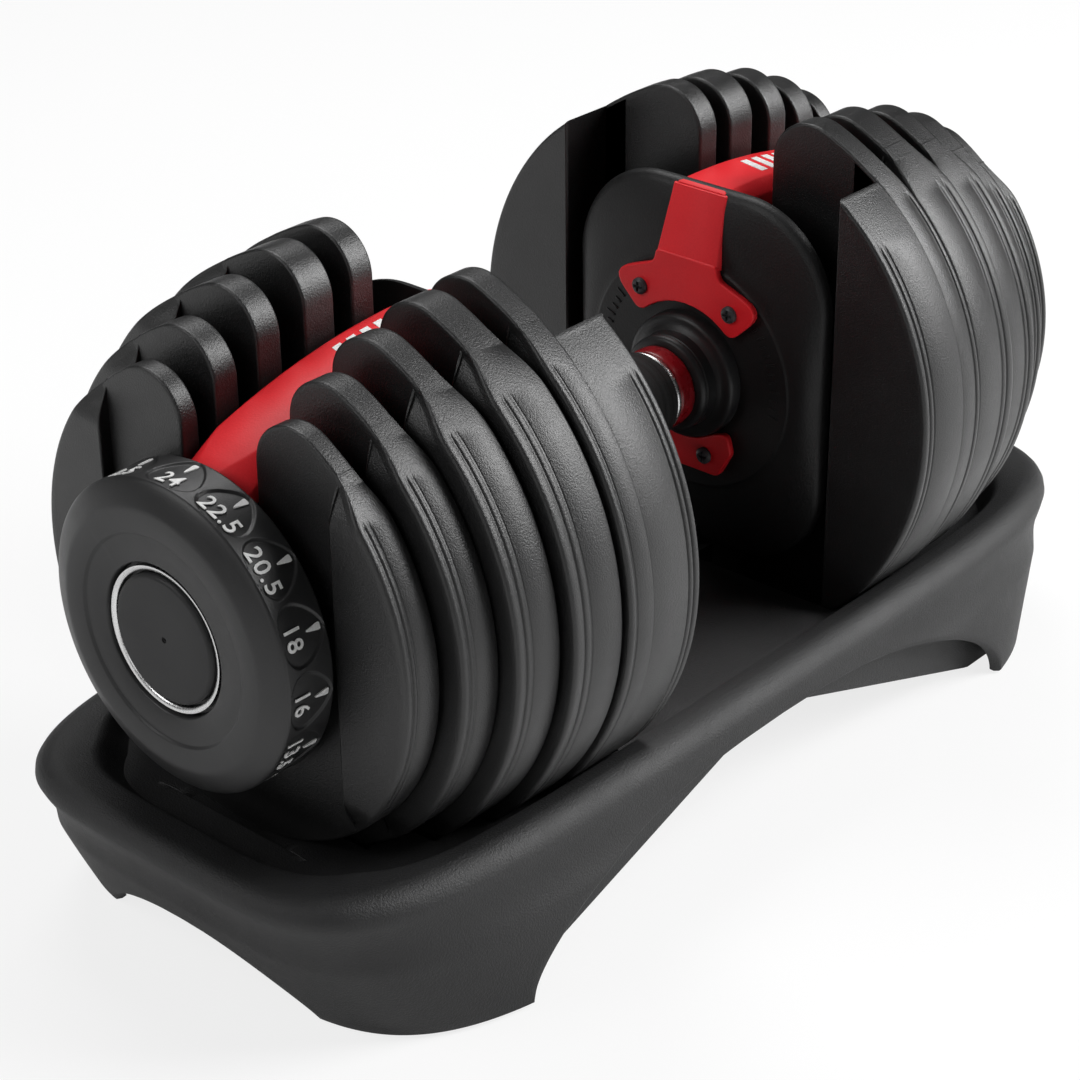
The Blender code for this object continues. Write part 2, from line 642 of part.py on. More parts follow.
def tray():
    """The storage tray: a drafted shell with a lip, two plate wells and four feet."""
    foot = plan(TRAY_HALF_X - TRAY_DRAFT_X, TRAY_HALF_Y - TRAY_DRAFT_Y)
    rim = plan(TRAY_HALF_X, TRAY_HALF_Y)
    edge = plan(TRAY_HALF_X - 0.003, TRAY_HALF_Y - 0.003)
    outside = lofted(((foot, TRAY_FOOT_Z), (rim, TRAY_RIM_Z - 0.003), (edge, TRAY_RIM_Z)))
    obj = add("tray", outside, "black_plastic", (0.0, 0.0, 0.0), False)
    under = DECK_Z - TRAY_WALL
    share = 1.0 - (under - TRAY_FOOT_Z) / (TRAY_RIM_Z - TRAY_FOOT_Z)
    low = plan(TRAY_HALF_X - TRAY_DRAFT_X - TRAY_WALL, TRAY_HALF_Y - TRAY_DRAFT_Y - TRAY_WALL)
    high = plan(TRAY_HALF_X - TRAY_DRAFT_X * share - TRAY_WALL, TRAY_HALF_Y - TRAY_WALL - TRAY_DRAFT_Y)
    boolean(obj, add("tray_cavity", lofted(((low, -0.01), (low, TRAY_FOOT_Z), (high, under)))))
    shelf = plan(TRAY_HALF_X - LIP_WIDTH - 0.006, TRAY_HALF_Y - LIP_WIDTH)
    mouth = plan(TRAY_HALF_X - LIP_WIDTH, TRAY_HALF_Y - LIP_WIDTH + 0.004)
    recess = lofted(((shelf, DECK_Z), (mouth, TRAY_RIM_Z), (mouth, TRAY_RIM_Z + 0.01)))
    boolean(obj, add("tray_shelf", recess))
    keep = box(-TRAY_HALF_X, TRAY_HALF_X, -TRAY_HALF_Y, TRAY_HALF_Y, 0.0, DECK_Z)
    at = (0.0, 0.0, AXIS_Z)
    for suffix in ("near", "far"):
        shell = at_end(add(f"well_shell_{suffix}", well_solid(TRAY_WALL), None, at), suffix)
        boolean(shell, add(f"well_keep_{suffix}", keep.copy()), "INTERSECT")
        boolean(obj, shell, "UNION")
        hollow = at_end(add(f"well_hollow_{suffix}", well_solid(0.0), None, at), suffix)
        boolean(obj, hollow)
        x = COVER_FACE_X + COVER_THICK / 2
        x = -x if suffix == "near" else x
        post_top = AXIS_Z - COVER_HALF_Z - PIN_PROUD - CLEAR
        post = box(x - POST_HALF, x + POST_HALF, -POST_HALF, POST_HALF, DECK_Z - TRAY_WALL / 2, post_top)
        boolean(obj, add(f"lock_post_{suffix}", post), "UNION")
    keep.free()
    for x in (-FOOT_X, FOOT_X):
        for y in (-FOOT_Y, FOOT_Y):
            spot = f"{'near' if x < 0 else 'far'}_{'right' if y < 0 else 'left'}"
            round_foot = [(x + a, y + b) for a, b in arc((0.0, 0.0), FOOT_RADIUS, 0, 360, 16)[:-1]]
            boss = extruded(round_foot, FOOT_HEIGHT + CLEAR, under + TRAY_WALL / 2, "Z")
            boolean(obj, add(f"foot_boss_{spot}", boss), "UNION")
            pad = extruded(round_foot, 0.0, FOOT_HEIGHT, "Z")
            add(f"rubber_foot_{spot}", pad, "rubber", smooth=False)
    side = extruded(arch_outline(ARCH_HALF_X, ARCH_Z, ARCH_SWEEP), -TRAY_HALF_X, TRAY_HALF_X, "Y")
    side_cut = add("side_arch", side)
    skin_y = TRAY_HALF_Y - SKIRT_REACH_Y
    boolean(side_cut, add("side_arch_keep", box(-TRAY_HALF_X, TRAY_HALF_X, -skin_y, skin_y, -0.02, 0.1)))
    boolean(obj, side_cut)
    reach = TRAY_HALF_X + TRAY_WALL
    end = extruded(arch_outline(END_ARCH_HALF_Y, END_ARCH_Z, END_ARCH_SWEEP), -reach, reach)
    end_cut = add("end_arch", end)
    skin_x = TRAY_HALF_X - SKIRT_REACH_X
    boolean(end_cut, add("end_arch_keep", box(-skin_x, skin_x, -TRAY_HALF_Y, TRAY_HALF_Y, -0.02, 0.1)))
    boolean(obj, end_cut)


clear_scene()
parts = collection("adjustable_dumbbell")
cutters = collection("cutters")
tray()
handle()
for end_name in ("near", "far"):
    for plate_number in range(1, len(PLATES) + 1):
        plate(plate_number, end_name)
        disc(plate_number, end_name)
    cover(end_name)
    hub(end_name)
    bridge(end_name)
    lower_bracket(end_name)
    for place_name, (place_y, place_z) in screw_places():
        screw(place_name, place_y, place_z, end_name)
    dial(end_name)
    lock(end_name)
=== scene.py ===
"""Looks of an adjustable dial dumbbell docked in its storage tray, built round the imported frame.

The handle runs along X. Each end piece is shaped for the far end, at +X, and its near copy is
turned half a turn about Z. Sizes are in metres.
"""

import math

import bmesh
import bpy
import numpy as np
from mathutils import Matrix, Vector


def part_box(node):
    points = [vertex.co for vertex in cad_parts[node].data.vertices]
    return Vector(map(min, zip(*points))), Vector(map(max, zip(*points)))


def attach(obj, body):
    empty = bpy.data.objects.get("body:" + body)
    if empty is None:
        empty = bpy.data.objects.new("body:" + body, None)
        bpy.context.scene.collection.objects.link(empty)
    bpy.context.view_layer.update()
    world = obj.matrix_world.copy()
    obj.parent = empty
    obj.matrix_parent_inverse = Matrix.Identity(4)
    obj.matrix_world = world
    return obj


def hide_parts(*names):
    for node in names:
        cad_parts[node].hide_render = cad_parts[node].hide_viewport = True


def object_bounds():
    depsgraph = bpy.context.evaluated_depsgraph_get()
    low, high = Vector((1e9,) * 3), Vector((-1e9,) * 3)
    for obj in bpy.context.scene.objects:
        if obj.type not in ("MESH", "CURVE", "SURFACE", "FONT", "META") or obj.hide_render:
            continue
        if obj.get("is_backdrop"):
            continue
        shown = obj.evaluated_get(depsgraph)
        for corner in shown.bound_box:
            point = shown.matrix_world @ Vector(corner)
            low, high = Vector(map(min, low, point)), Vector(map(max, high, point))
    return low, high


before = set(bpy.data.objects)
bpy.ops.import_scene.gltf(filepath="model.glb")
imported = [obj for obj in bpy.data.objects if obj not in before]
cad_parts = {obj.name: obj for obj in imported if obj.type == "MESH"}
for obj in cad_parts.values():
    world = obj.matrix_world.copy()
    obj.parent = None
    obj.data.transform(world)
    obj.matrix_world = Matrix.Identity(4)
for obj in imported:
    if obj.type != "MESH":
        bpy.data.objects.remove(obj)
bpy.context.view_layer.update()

# Camera: a long lens that looks down at the near dial from its right-hand side.
camera = bpy.data.objects.new("camera", bpy.data.cameras.new("camera"))
bpy.context.collection.objects.link(camera)
camera.location = (-0.6591, -0.5674, 0.5518)
camera.rotation_euler = (math.radians(90 - 28.39), 0.0, math.radians(41.77 - 90))
camera.rotation_euler.rotate_axis("Z", math.radians(-0.60))
camera.data.lens = 90.4
camera.data.sensor_width = 36.0
bpy.context.scene.camera = camera


# ---- Floor, daylight room and lamps ----------------------------------------------------------
# A pale studio floor that fades to white for the camera and for reflections, but keeps the
# object's shadow, under four soft boxes.
class Value:
    """A number that a shader socket gives; arithmetic on it adds Math nodes."""

    def __init__(self, finish, socket):
        self.finish = finish
        self.socket = socket

    def math(self, operation, left, right):
        return self.finish.node("ShaderNodeMath", {"operation": operation}, {0: left, 1: right})

    def __add__(self, other):
        return self.math("ADD", self, other)

    def __radd__(self, other):
        return self.math("ADD", other, self)

    def __sub__(self, other):
        return self.math("SUBTRACT", self, other)

    def __rsub__(self, other):
        return self.math("SUBTRACT", other, self)

    def __mul__(self, other):
        return self.math("MULTIPLY", self, other)

    def __rmul__(self, other):
        return self.math("MULTIPLY", other, self)

    def at_most(self, other):
        return self.math("MINIMUM", self, other)


class Finish:
    """A surface finish: one material and the nodes that shade it."""

    def __init__(self, name):
        self.material = bpy.data.materials.new(name)
        self.material.use_nodes = True
        self.tree = self.material.node_tree
        self.tree.nodes.clear()
        self.out = self.tree.nodes.new("ShaderNodeOutputMaterial")

    def node(self, kind, settings, inputs, output=0):
        """Adds a node: its settings first, then the values or links of its sockets."""
        made = self.tree.nodes.new(kind)
        for key, value in settings.items():
            if key == "stops":
                ramp = made.color_ramp
                for place, tone in value[1:-1]:
                    ramp.elements.new(place).color = tone
                for element, (place, tone) in zip(ramp.elements, value):
                    element.position = place
                    element.color = tone
            else:
                setattr(made, key, value)
        for key, value in inputs.items():
            if isinstance(value, Value):
                self.tree.links.new(value.socket, made.inputs[key])
            else:
                made.inputs[key].default_value = value
        return Value(self, made.outputs[output])

    def place(self):
        """Object coordinates, in metres."""
        return self.node("ShaderNodeTexCoord", {}, {}, "Object")

    def noise(self, at, size, detail=2.0, roughness=0.5):
        """Cloudy noise whose blobs are about the given size."""
        inputs = {"Vector": at, "Scale": 1.0 / size, "Detail": detail, "Roughness": roughness}
        return self.node("ShaderNodeTexNoise", {}, inputs, "Fac")

    def spread(self, value, low, high, start=0.0, end=1.0):
        """A value moved from one range to another and held inside it."""
        inputs = {"Value": value, "From Min": low, "From Max": high, "To Min": start, "To Max": end}
        return self.node("ShaderNodeMapRange", {}, inputs)

    def blend(self, share, low, high):
        """A colour between two others."""
        picks = {"data_type": "RGBA"}
        return self.node("ShaderNodeMix", picks, {"Factor": share, "A": low, "B": high}, 2)

    def bump(self, height, depth, strength=1.0, under=None):
        inputs = {"Height": height, "Distance": depth, "Strength": strength}
        if under:
            inputs["Normal"] = under
        return self.node("ShaderNodeBump", {}, inputs)

    def surface(self, **inputs):
        """A Principled surface, with each socket given by name."""
        named = {key.replace("_", " "): value for key, value in inputs.items()}
        shader = self.node("ShaderNodeBsdfPrincipled", {}, named)
        self.tree.links.new(shader.socket, self.out.inputs["Surface"])
        return self.material


FLOOR_HALF = 6.0
floor_mesh = bpy.data.meshes.new("floor")
floor_corners = [(x * FLOOR_HALF, y * FLOOR_HALF, 0.0) for x, y in ((-1, -1), (1, -1), (1, 1), (-1, 1))]
floor_mesh.from_pydata(floor_corners, [], [(0, 1, 2, 3)])
floor = bpy.data.objects.new("floor", floor_mesh)
bpy.context.collection.objects.link(floor)
floor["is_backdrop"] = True

# Shares of the floor's own white for the eye and for a polished surface.
FLOOR_GLOW, FLOOR_GLOSS_GLOW = 0.80, 0.25
pale = Finish("floor_paper")
seen = pale.node("ShaderNodeLightPath", {}, {}, "Is Camera Ray")
seen = seen + pale.node("ShaderNodeLightPath", {}, {}, "Is Glossy Ray") * FLOOR_GLOSS_GLOW
seen = seen + pale.node("ShaderNodeLightPath", {}, {}, "Is Transmission Ray")
paper = pale.node("ShaderNodeBsdfDiffuse", {}, {"Color": (0.86, 0.86, 0.86, 1.0)})
glow = pale.node("ShaderNodeEmission", {}, {"Color": (1.0, 1.0, 1.0, 1.0), "Strength": 1.0})
mixed = pale.node("ShaderNodeMixShader", {}, {0: seen.at_most(1.0) * FLOOR_GLOW, 1: paper, 2: glow})
pale.tree.links.new(mixed.socket, pale.out.inputs["Surface"])
floor_mesh.materials.append(pale.material)

ROOM_LIGHT = 0.07
room = bpy.data.worlds.new("room")
room.use_nodes = True
bpy.context.scene.world = room
room_nodes = room.node_tree.nodes
room_links = room.node_tree.links
room_nodes.clear()
room_out = room_nodes.new("ShaderNodeOutputWorld")
room_light = room_nodes.new("ShaderNodeBackground")
room_light.inputs["Strength"].default_value = ROOM_LIGHT
room_white = room_nodes.new("ShaderNodeBackground")
room_white.inputs["Color"].default_value = (1.0, 1.0, 1.0, 1.0)
room_pick = room_nodes.new("ShaderNodeMixShader")
room_path = room_nodes.new("ShaderNodeLightPath")
room_links.new(room_path.outputs["Is Camera Ray"], room_pick.inputs[0])
room_links.new(room_light.outputs[0], room_pick.inputs[1])
room_links.new(room_white.outputs[0], room_pick.inputs[2])
room_links.new(room_pick.outputs[0], room_out.inputs[0])

grip_low, grip_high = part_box("rubber_grip")
for label, place, size, power in (
    ("right", (1.00, -1.05, 1.05), (0.8, 1.2), 40.0),
    ("left", (-1.35, 0.75, 1.25), (0.8, 1.0), 10.0),
    ("top", (0.45, 0.75, 1.6), (0.9, 0.9), 14.0),
    ("front", (-1.7, -0.55, 0.75), (0.9, 0.9), 3.0),
):
    lamp = bpy.data.objects.new("softbox_" + label, bpy.data.lights.new("softbox_" + label, "AREA"))
    lamp.data.shape = "RECTANGLE"
    lamp.data.size, lamp.data.size_y = size
    lamp.data.energy = power
    lamp.location = place
    aim = grip_low.lerp(grip_high, 0.5) - lamp.location
    lamp.rotation_euler = aim.to_track_quat("-Z", "Y").to_euler()
    bpy.context.collection.objects.link(lamp)
bpy.context.scene.view_settings.view_transform = "Standard"


# ---- Storage tray -----------------------------------------------------------------------------
# One moulding in grained black plastic: a flared skirt with an arch in each side, a broad soft
# lip, and a deck with a stepped trough for each end's plates. It stands on four rubber pads.
AXIS_Z = sum(corner.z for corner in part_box("axle_rod")) / 2


CREASE = math.radians(48)


def skin(name, sheets, finishes, body, stands_for):
    """Makes a piece from closed sheets, each (points, faces) or (points, faces, finish number).
    Edges that turn by more than the crease angle stay sharp."""
    points, faces, picks, count = [], [], [], 0
    for sheet in sheets:
        at = sheet[0].reshape(-1, 3)
        points.append(at)
        # A face that names a point twice running is a triangle.
        listed = sheet[1].tolist() if isinstance(sheet[1], np.ndarray) else sheet[1]
        faces += [[i + count for i in dict.fromkeys(face)] for face in listed]
        picks += [sheet[2] if len(sheet) > 2 else 0] * len(sheet[1])
        count += len(at)
    mesh = bpy.data.meshes.new(name)
    mesh.from_pydata(np.concatenate(points).tolist(), [], faces)
    for finish in finishes:
        mesh.materials.append(finish)
    mesh.polygons.foreach_set("material_index", np.array(picks, np.int32))
    mesh.polygons.foreach_set("use_smooth", np.full(len(faces), True))
    mesh.set_sharp_from_angle(angle=CREASE)
    mesh.update()
    piece = bpy.data.objects.new(name, mesh)
    bpy.context.collection.objects.link(piece)
    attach(piece, body)
    if stands_for:
        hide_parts(*stands_for)


def grid_faces(rows, columns, wrap_rows=False, wrap_columns=False, start=0):
    """Quads over a grid of rows and columns, each way closed into a ring where asked."""
    r = np.arange(rows if wrap_rows else rows - 1)
    c = np.arange(columns if wrap_columns else columns - 1)
    r, c = (part.ravel() for part in np.meshgrid(r, c, indexing="ij"))
    r2, c2 = (r + 1) % rows, (c + 1) % columns
    return start + np.stack([r * columns + c, r * columns + c2, r2 * columns + c2, r2 * columns + c], 1)


def ease(t):
    """A smooth step from 0 to 1: three t squared less two t cubed."""
    t = np.clip(t, 0.0, 1.0)
    return t * t * (3.0 - 2.0 * t)


def facing_out(points, faces):
    """The same sheet with its faces turned outwards, judged by the sign of the volume it holds."""
    flat = points.reshape(-1, 3)
    a, b, c, d = (flat[faces[:, i]] for i in range(4))
    volume = (np.cross(a, b) * c).sum() + (np.cross(a, c) * d).sum()
    return points, faces if volume > 0 else faces[:, ::-1]


def capped(points):
    """A solid through sections of equal length, with one face over each end."""
    rows, count = points.shape[:2]
    last = (rows - 1) * count
    faces = grid_faces(rows, count, False, True).tolist()
    return points, faces + [list(range(count - 1, -1, -1)), list(range(last, last + count))]


TRAY_L, TRAY_W, RIM_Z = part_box("tray")[1]
FOOT_Z = 0.0018
DECK_Z = 0.050
# How much shorter and how much wider the skirt is at its foot than at the lip.
DRAFT_X, FLARE_Y = 0.024, 0.0110
SKIRT_WALL = 0.0038
DECK_WALL = 0.0030
# The lip's breadth at the sides, what it gains at the ends, and how far below the rim it turns
# down into the skirt.
LIP, LIP_END_GAIN, LIP_FALL = 0.0150, 0.0070, 0.0105
SQUARENESS, FOOT_SQUARENESS = 5.2, 4.3
# Half width and crown height of the arches between the feet.
SIDE_ARCH = (0.1400, 0.0440)
END_ARCH = (0.0500, 0.0220)


def outline(turn, inset, down=0.0):
    """Rounded rectangle in plan: a squared-off ellipse, drawn in by the inset. Lower down it is
    shorter, wider and rounder."""
    power = 2 / (SQUARENESS + (FOOT_SQUARENESS - SQUARENESS) * down)
    c, s = np.cos(turn), np.sin(turn)
    x = (TRAY_L - inset - DRAFT_X * down**1.15) * np.sign(c) * np.abs(c) ** power
    y = (TRAY_W - inset + FLARE_Y * down**1.3) * np.sign(s) * np.abs(s) ** power
    return x, y


def arch(distance, half, crown):
    """Height of an arched edge: nearly an ellipse over the gap between two feet."""
    return crown * np.clip(1.0 - (distance / half) ** 2, 0.0, 1.0) ** 0.72


def skirt():
    """The lip and outer wall: a closed profile carried round the plan outline. The profile runs
    up the inside of the skirt, over the lip and down the outside, and its foot follows the arches."""
    a = np.linspace(0.0, 2 * math.pi, 721)[:-1]
    # Points crowd at the corners, where the squared-off ellipse turns.
    a = a - 0.13 * np.sin(4 * a)
    x0, y0 = outline(a, 0.0)
    foot_x, foot_y = outline(a, 0.0, 0.9)
    near_side = ease((np.abs(y0) / TRAY_W - 0.80) / 0.16)
    near_end = ease((np.abs(x0) / TRAY_L - 0.86) / 0.12)
    foot = FOOT_Z + np.maximum(arch(foot_x, *SIDE_ARCH) * near_side, arch(foot_y, *END_ARCH) * near_end)
    # The lip is broader at the ends, where the shelf below the dials lies.
    lip_in = LIP + LIP_END_GAIN * (1 - near_side)
    ceiling = DECK_Z - 0.006
    # Each row of the profile is an inset from the outline and a level.
    rows = [(SKIRT_WALL, foot), (SKIRT_WALL + 0.001, foot + (ceiling - foot) * 0.5)]
    rows += [(SKIRT_WALL + 0.002, ceiling), (lip_in + 0.0040, ceiling)]
    lip_drop, lip_crown = RIM_Z - DECK_Z + 0.0012, 0.0080
    for share in np.linspace(1.0, 0.0, 14):
        inset = lip_crown + (lip_in + 0.0030 - lip_crown) * share
        drop = lip_drop * (0.16 * share**1.6 + 0.84 * ease((share - 0.60) / 0.40))
        rows.append((inset, RIM_Z - drop))
    rows += [(0.0060, RIM_Z - 0.0005), (0.0040, RIM_Z - 0.0015), (0.0024, RIM_Z - 0.0030)]
    rows += [(0.0011, RIM_Z - 0.0050), (0.0003, RIM_Z - 0.0075), (0.0, RIM_Z - LIP_FALL)]
    knee = RIM_Z - LIP_FALL
    rows += [(0.0, knee + (foot - knee) * share) for share in np.linspace(0.10, 1.0, 14)]
    rows += [(0.0006, foot - 0.0007), (0.0024, foot - 0.0008)]
    points = []
    for inset, level in rows:
        level = level + np.zeros_like(a)
        down = np.clip((RIM_Z - level) / (RIM_Z - FOOT_Z), 0.0, 1.0)
        # A soft hollow runs round under the lip.
        hollow = 0.0016 * np.sin(np.clip((RIM_Z - 0.008 - level) / 0.020, 0.0, 1.0) * math.pi)
        x, y = outline(a, inset + hollow, down)
        points.append(np.stack([x, y, level], -1))
    points = np.stack(points)
    return facing_out(points, grid_faces(len(rows), len(a), True, True))


RIB_HALF, RIB_SPAN, RIB_THICK = 0.145, 0.130, 0.0030


def rib(side):
    """A rib inside a long side: its lower edge falls evenly from the arch's crown to the feet."""
    x = np.linspace(-RIB_HALF, RIB_HALF, 101)
    low = FOOT_Z + SIDE_ARCH[1] * np.clip(1 - np.abs(x) / RIB_SPAN, 0.0, 1.0)
    high = np.full_like(x, DECK_Z - 0.005)
    y = side * (TRAY_W - 0.0065)
    section = ((0.0, low), (RIB_THICK * side, low), (RIB_THICK * side, high), (0.0, high))
    rows = [np.stack([x, np.full_like(x, y - shift), level], -1) for shift, level in section]
    points, faces = capped(np.stack(rows, 1))
    return facing_out(points, np.array(faces))


# The wells step with the plates, from the largest outwards. Each step clears its plate's rim,
# which is a ring of straight sides, and a run is left at each end of the row.
PLATE_SIDES = 80
WELL_GAP, WELL_STEP, WELL_RUN = 0.0006, 0.0008, 0.0010
rims = [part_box(f"plate_{number}_far") for number in range(5, 0, -1)]
WELL_RADII = [(high.y - low.y) / 2 / math.cos(math.pi / PLATE_SIDES) + WELL_GAP for low, high in rims]
WELL_WALLS = [rims[0][0].x - WELL_RUN] + [low.x - WELL_STEP for low, high in rims[1:]]
WELL_WALLS += [rims[-1][1].x + WELL_RUN]


def well_depth(x):
    """Radius of the trough at each x: the plate there, or nothing outside the well."""
    radius = np.zeros_like(x)
    for start, stop, reach in zip(WELL_WALLS, WELL_WALLS[1:], WELL_RADII):
        radius = np.where((np.abs(x) > start) & (np.abs(x) <= stop), reach, radius)
    return radius


def deck():
    """The deck and its two wells: a grid of cross sections along X. Across each one the points
    are shared out between the trough's arc and the flat beside it; the underside follows."""
    gap = 0.0003
    end = TRAY_L - LIP - 0.0035
    stations = [np.linspace(0.0, WELL_WALLS[0] - gap, 14)]
    for start, stop in zip(WELL_WALLS, WELL_WALLS[1:]):
        stations.append(np.linspace(start + gap, stop - gap, 4))
    shelf = WELL_WALLS[-1] + gap
    stations.append(shelf + (end - WELL_WALLS[-1] - gap) * np.linspace(0, 1, 16) ** 0.8)
    x = np.concatenate(stations)
    x = np.concatenate([-x[:0:-1], x])
    radius = well_depth(x)
    inner_x = TRAY_L - LIP - 0.0040
    c = np.clip(np.abs(x) / inner_x, 0.0, 1.0)
    width = (TRAY_W - LIP - 0.0005) * np.maximum(1.0 - c ** SQUARENESS, 1e-4) ** (1 / SQUARENESS)
    # Level: the shelf at the ends lies low, and the deck between the wells rises to the lip.
    middle = ease((WELL_WALLS[0] + 0.004 - np.abs(x)) / 0.030)
    level = DECK_Z + (RIM_Z - 0.0035 - DECK_Z) * middle
    well_half = np.sqrt(np.maximum(radius**2 - (AXIS_Z - level) ** 2, 0.0))
    well_half = np.where(radius > 0, np.minimum(well_half, width - 0.0015), width * 0.55)
    v = np.linspace(0.0, 1.0, 25)
    inner = np.outer(well_half, v)
    trough = AXIS_Z - np.sqrt(np.maximum(radius[:, None] ** 2 - inner**2, 1e-9))
    inner_z = np.where(radius[:, None] > 0, trough, level[:, None])
    v = np.linspace(0.0, 1.0, 9)[1:]
    outer = well_half[:, None] + (width + 0.004 - well_half)[:, None] * v
    outer_z = level[:, None] + 0.0025 * middle[:, None] * v**2
    y = np.concatenate([inner, outer], 1)
    z = np.concatenate([inner_z, outer_z], 1)
    y = np.concatenate([-y[:, :0:-1], y], 1)
    z = np.concatenate([z[:, :0:-1], z], 1)
    top = np.stack([np.repeat(x[:, None], y.shape[1], 1), y, z], -1)
    return closed_sheet(top, top - np.array([0.0, 0.0, DECK_WALL]))


def closed_sheet(top, under):
    """A solid between two grids of the same size, with a strip round its edge."""
    rows, columns = top.shape[:2]
    count = rows * columns
    index = np.arange(count).reshape(rows, columns)
    edge = np.concatenate([index[0, :-1], index[:-1, -1], index[-1, :0:-1], index[:0:-1, 0]])
    after = np.roll(edge, -1)
    sides = np.stack([edge, edge + count, after + count, after], 1)
    lower = grid_faces(rows, columns, start=count)[:, ::-1]
    faces = np.concatenate([grid_faces(rows, columns), lower, sides])
    points = np.concatenate([top.reshape(-1, 3), under.reshape(-1, 3)])
    return facing_out(points, faces)


def grained(name, colour, roughness, grain, depth, wear=0.35, mottle=0.12, gloss=0.30):
    """A grained finish: fine grain of the given size and depth, clouds 35 mm and scuffs 6 mm
    across, and paler rubbed edges. Mottle and wear are how far clouds and rubbing shift the tone."""
    finish = Finish(name)
    at = finish.place()
    fine = finish.noise(at, grain, 3.0, 0.6)
    cloud = finish.noise(at, 0.035, 3.0, 0.55)
    scuff = finish.noise(at, 0.006, 4.0, 0.7)
    edge = finish.node("ShaderNodeNewGeometry", {}, {}, "Pointiness")
    rub = finish.spread(edge, 0.505, 0.56) * finish.spread(scuff, 0.35, 0.65)
    shade = (cloud - 0.5) * mottle + (fine - 0.5) * 0.35 + rub * wear
    share = finish.spread(shade, -0.30, 0.50)
    dark = tuple(c * 0.62 for c in colour) + (1.0,)
    light = tuple(min(c * 2.1 + 0.004, 1.0) for c in colour) + (1.0,)
    tone = finish.blend(share, dark, light)
    matt = finish.spread(cloud * 0.6 + scuff * 0.4, 0.3, 0.7, roughness - 0.06, roughness + 0.07)
    relief = finish.bump(fine, depth)
    relief = finish.bump(scuff, depth * 0.5, 0.4, relief)
    return finish.surface(Base_Color=tone, Roughness=matt, Normal=relief, Specular_IOR_Level=gloss)


def block(x, y, z, turn=0.0, soft=0.25):
    """A small bar with chamfered edges, given by its two ends along each axis, turned about X."""
    rows, square = [], ((-1, -1), (1, -1), (1, 1), (-1, 1))
    for share, shrink in ((0.0, soft), (soft, 0.0), (1 - soft, 0.0), (1.0, soft)):
        place_x = x[0] + (x[1] - x[0]) * share
        dy, dz = (y[1] - y[0]) * (1 - shrink) / 2, (z[1] - z[0]) * (1 - shrink) / 2
        cy, cz = (y[0] + y[1]) / 2, (z[0] + z[1]) / 2
        rows.append([(place_x, cy + a * dy, cz + b * dz) for a, b in square])
    points, faces = capped(np.array(rows))
    c, s = math.cos(turn), math.sin(turn)
    y, z = points[..., 1].copy(), points[..., 2].copy()
    points[..., 1], points[..., 2] = y * c - z * s, y * s + z * c + AXIS_Z
    return facing_out(points, np.array(faces))


# A square post inside each well's inner wall works the handle's lock.
POST_X, POST_HALF, POST_TOP = 0.06465, 0.0055, 0.0537
posts = [
    block((side * POST_X - POST_HALF, side * POST_X + POST_HALF), (-POST_HALF, POST_HALF),
          (DECK_Z - 0.022 - AXIS_Z, POST_TOP - AXIS_Z), 0.0, 0.08)
    for side in (-1, 1)
]
tray_plastic = grained("tray_plastic", (0.0100, 0.0100, 0.0104), 0.54, 0.0007, 0.00028, 0.3, 0.12, 0.48)
tray_sheets = [skirt(), deck(), rib(1), rib(-1), *posts]
skin("tray_moulding", tray_sheets, [tray_plastic], "tray", ["tray"])

foot_rubber = grained("foot_rubber", (0.008, 0.008, 0.008), 0.85, 0.0012, 0.00012)
for name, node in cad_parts.items():
    if name.startswith("rubber_foot"):
        node.data.materials.clear()
        node.data.materials.append(foot_rubber)


# ---- Weight plates ----------------------------------------------------------------------------
# Five plates at each end: an iron core in a hard black coat with a pebbled grain. A thin middle
# band rises in two rounded horns beside the bridge, and a thick rim segment stands on each side,
# with two moulded grooves round it.
END_SIGN = {"far": 1.0, "near": -1.0}


def end_piece(node, end, part, sheets, finishes, body, stands_in=True):
    """Makes one end's copy of some sheets. The near copy is turned half a turn about Z."""
    name = f"{node}_{end}"
    turned = [(sheet[0] * np.array([END_SIGN[end], END_SIGN[end], 1.0]), *sheet[1:]) for sheet in sheets]
    skin(f"{name}_{part}", turned, finishes, body, [name] if stands_in else [])


def ringed(loops, columns=20):
    """A solid through closed loops of equal length, whose halves run out and back. Each end is
    closed by a grid of straight rows between the loop's two halves. The grid's first and last
    rows are single edges, so the faces beside them are triangles."""
    rings, count = loops.shape[:2]
    points, faces = [loops.reshape(-1, 3)], [grid_faces(rings, count, False, True)]
    half, total, middle = count // 2, rings * count, columns // 2
    share = np.linspace(0.0, 1.0, columns + 1)[None, 1:-1, None]
    for ring in (0, rings - 1):
        out, back = loops[ring, :half, None], loops[ring, ::-1][:half, None]
        inner = (out + (back - out) * share)[1:-1].reshape(-1, 3)
        points.append(inner)
        index = np.empty((half, columns + 1), int)
        index[:, :middle + 1] = ring * count + np.arange(half)[:, None]
        index[:, middle + 1:] = (ring + 1) * count - 1 - np.arange(half)[:, None]
        index[1:-1, 1:-1] = total + np.arange(len(inner)).reshape(half - 2, -1)
        quads = index.ravel()[grid_faces(half, columns + 1)]
        faces.append(quads if ring == 0 else quads[:, ::-1])
        total += len(inner)
    return facing_out(np.concatenate(points), np.concatenate(faces))


# Half width of the slot between the horns, the horns' radius, and the half widths between the
# rim segments, the second for the extra depth of the largest plate.
SLOT_HALF, HORN_ROUND, CHANNEL_HALF, LUMP_HALF = 0.0165, 0.0162, 0.0515, 0.0620
# Angle over which a rim segment widens at each tip.
FLARE = 0.24
# Each band's thickness, and how far it lies inside the rim's outer face, from the smallest plate.
PLATE_CORES = ((0.0072, 0.0044), (0.0100, 0.0029), (0.0105, 0.0051), (0.0134, 0.0048), (0.0100, 0.0021))


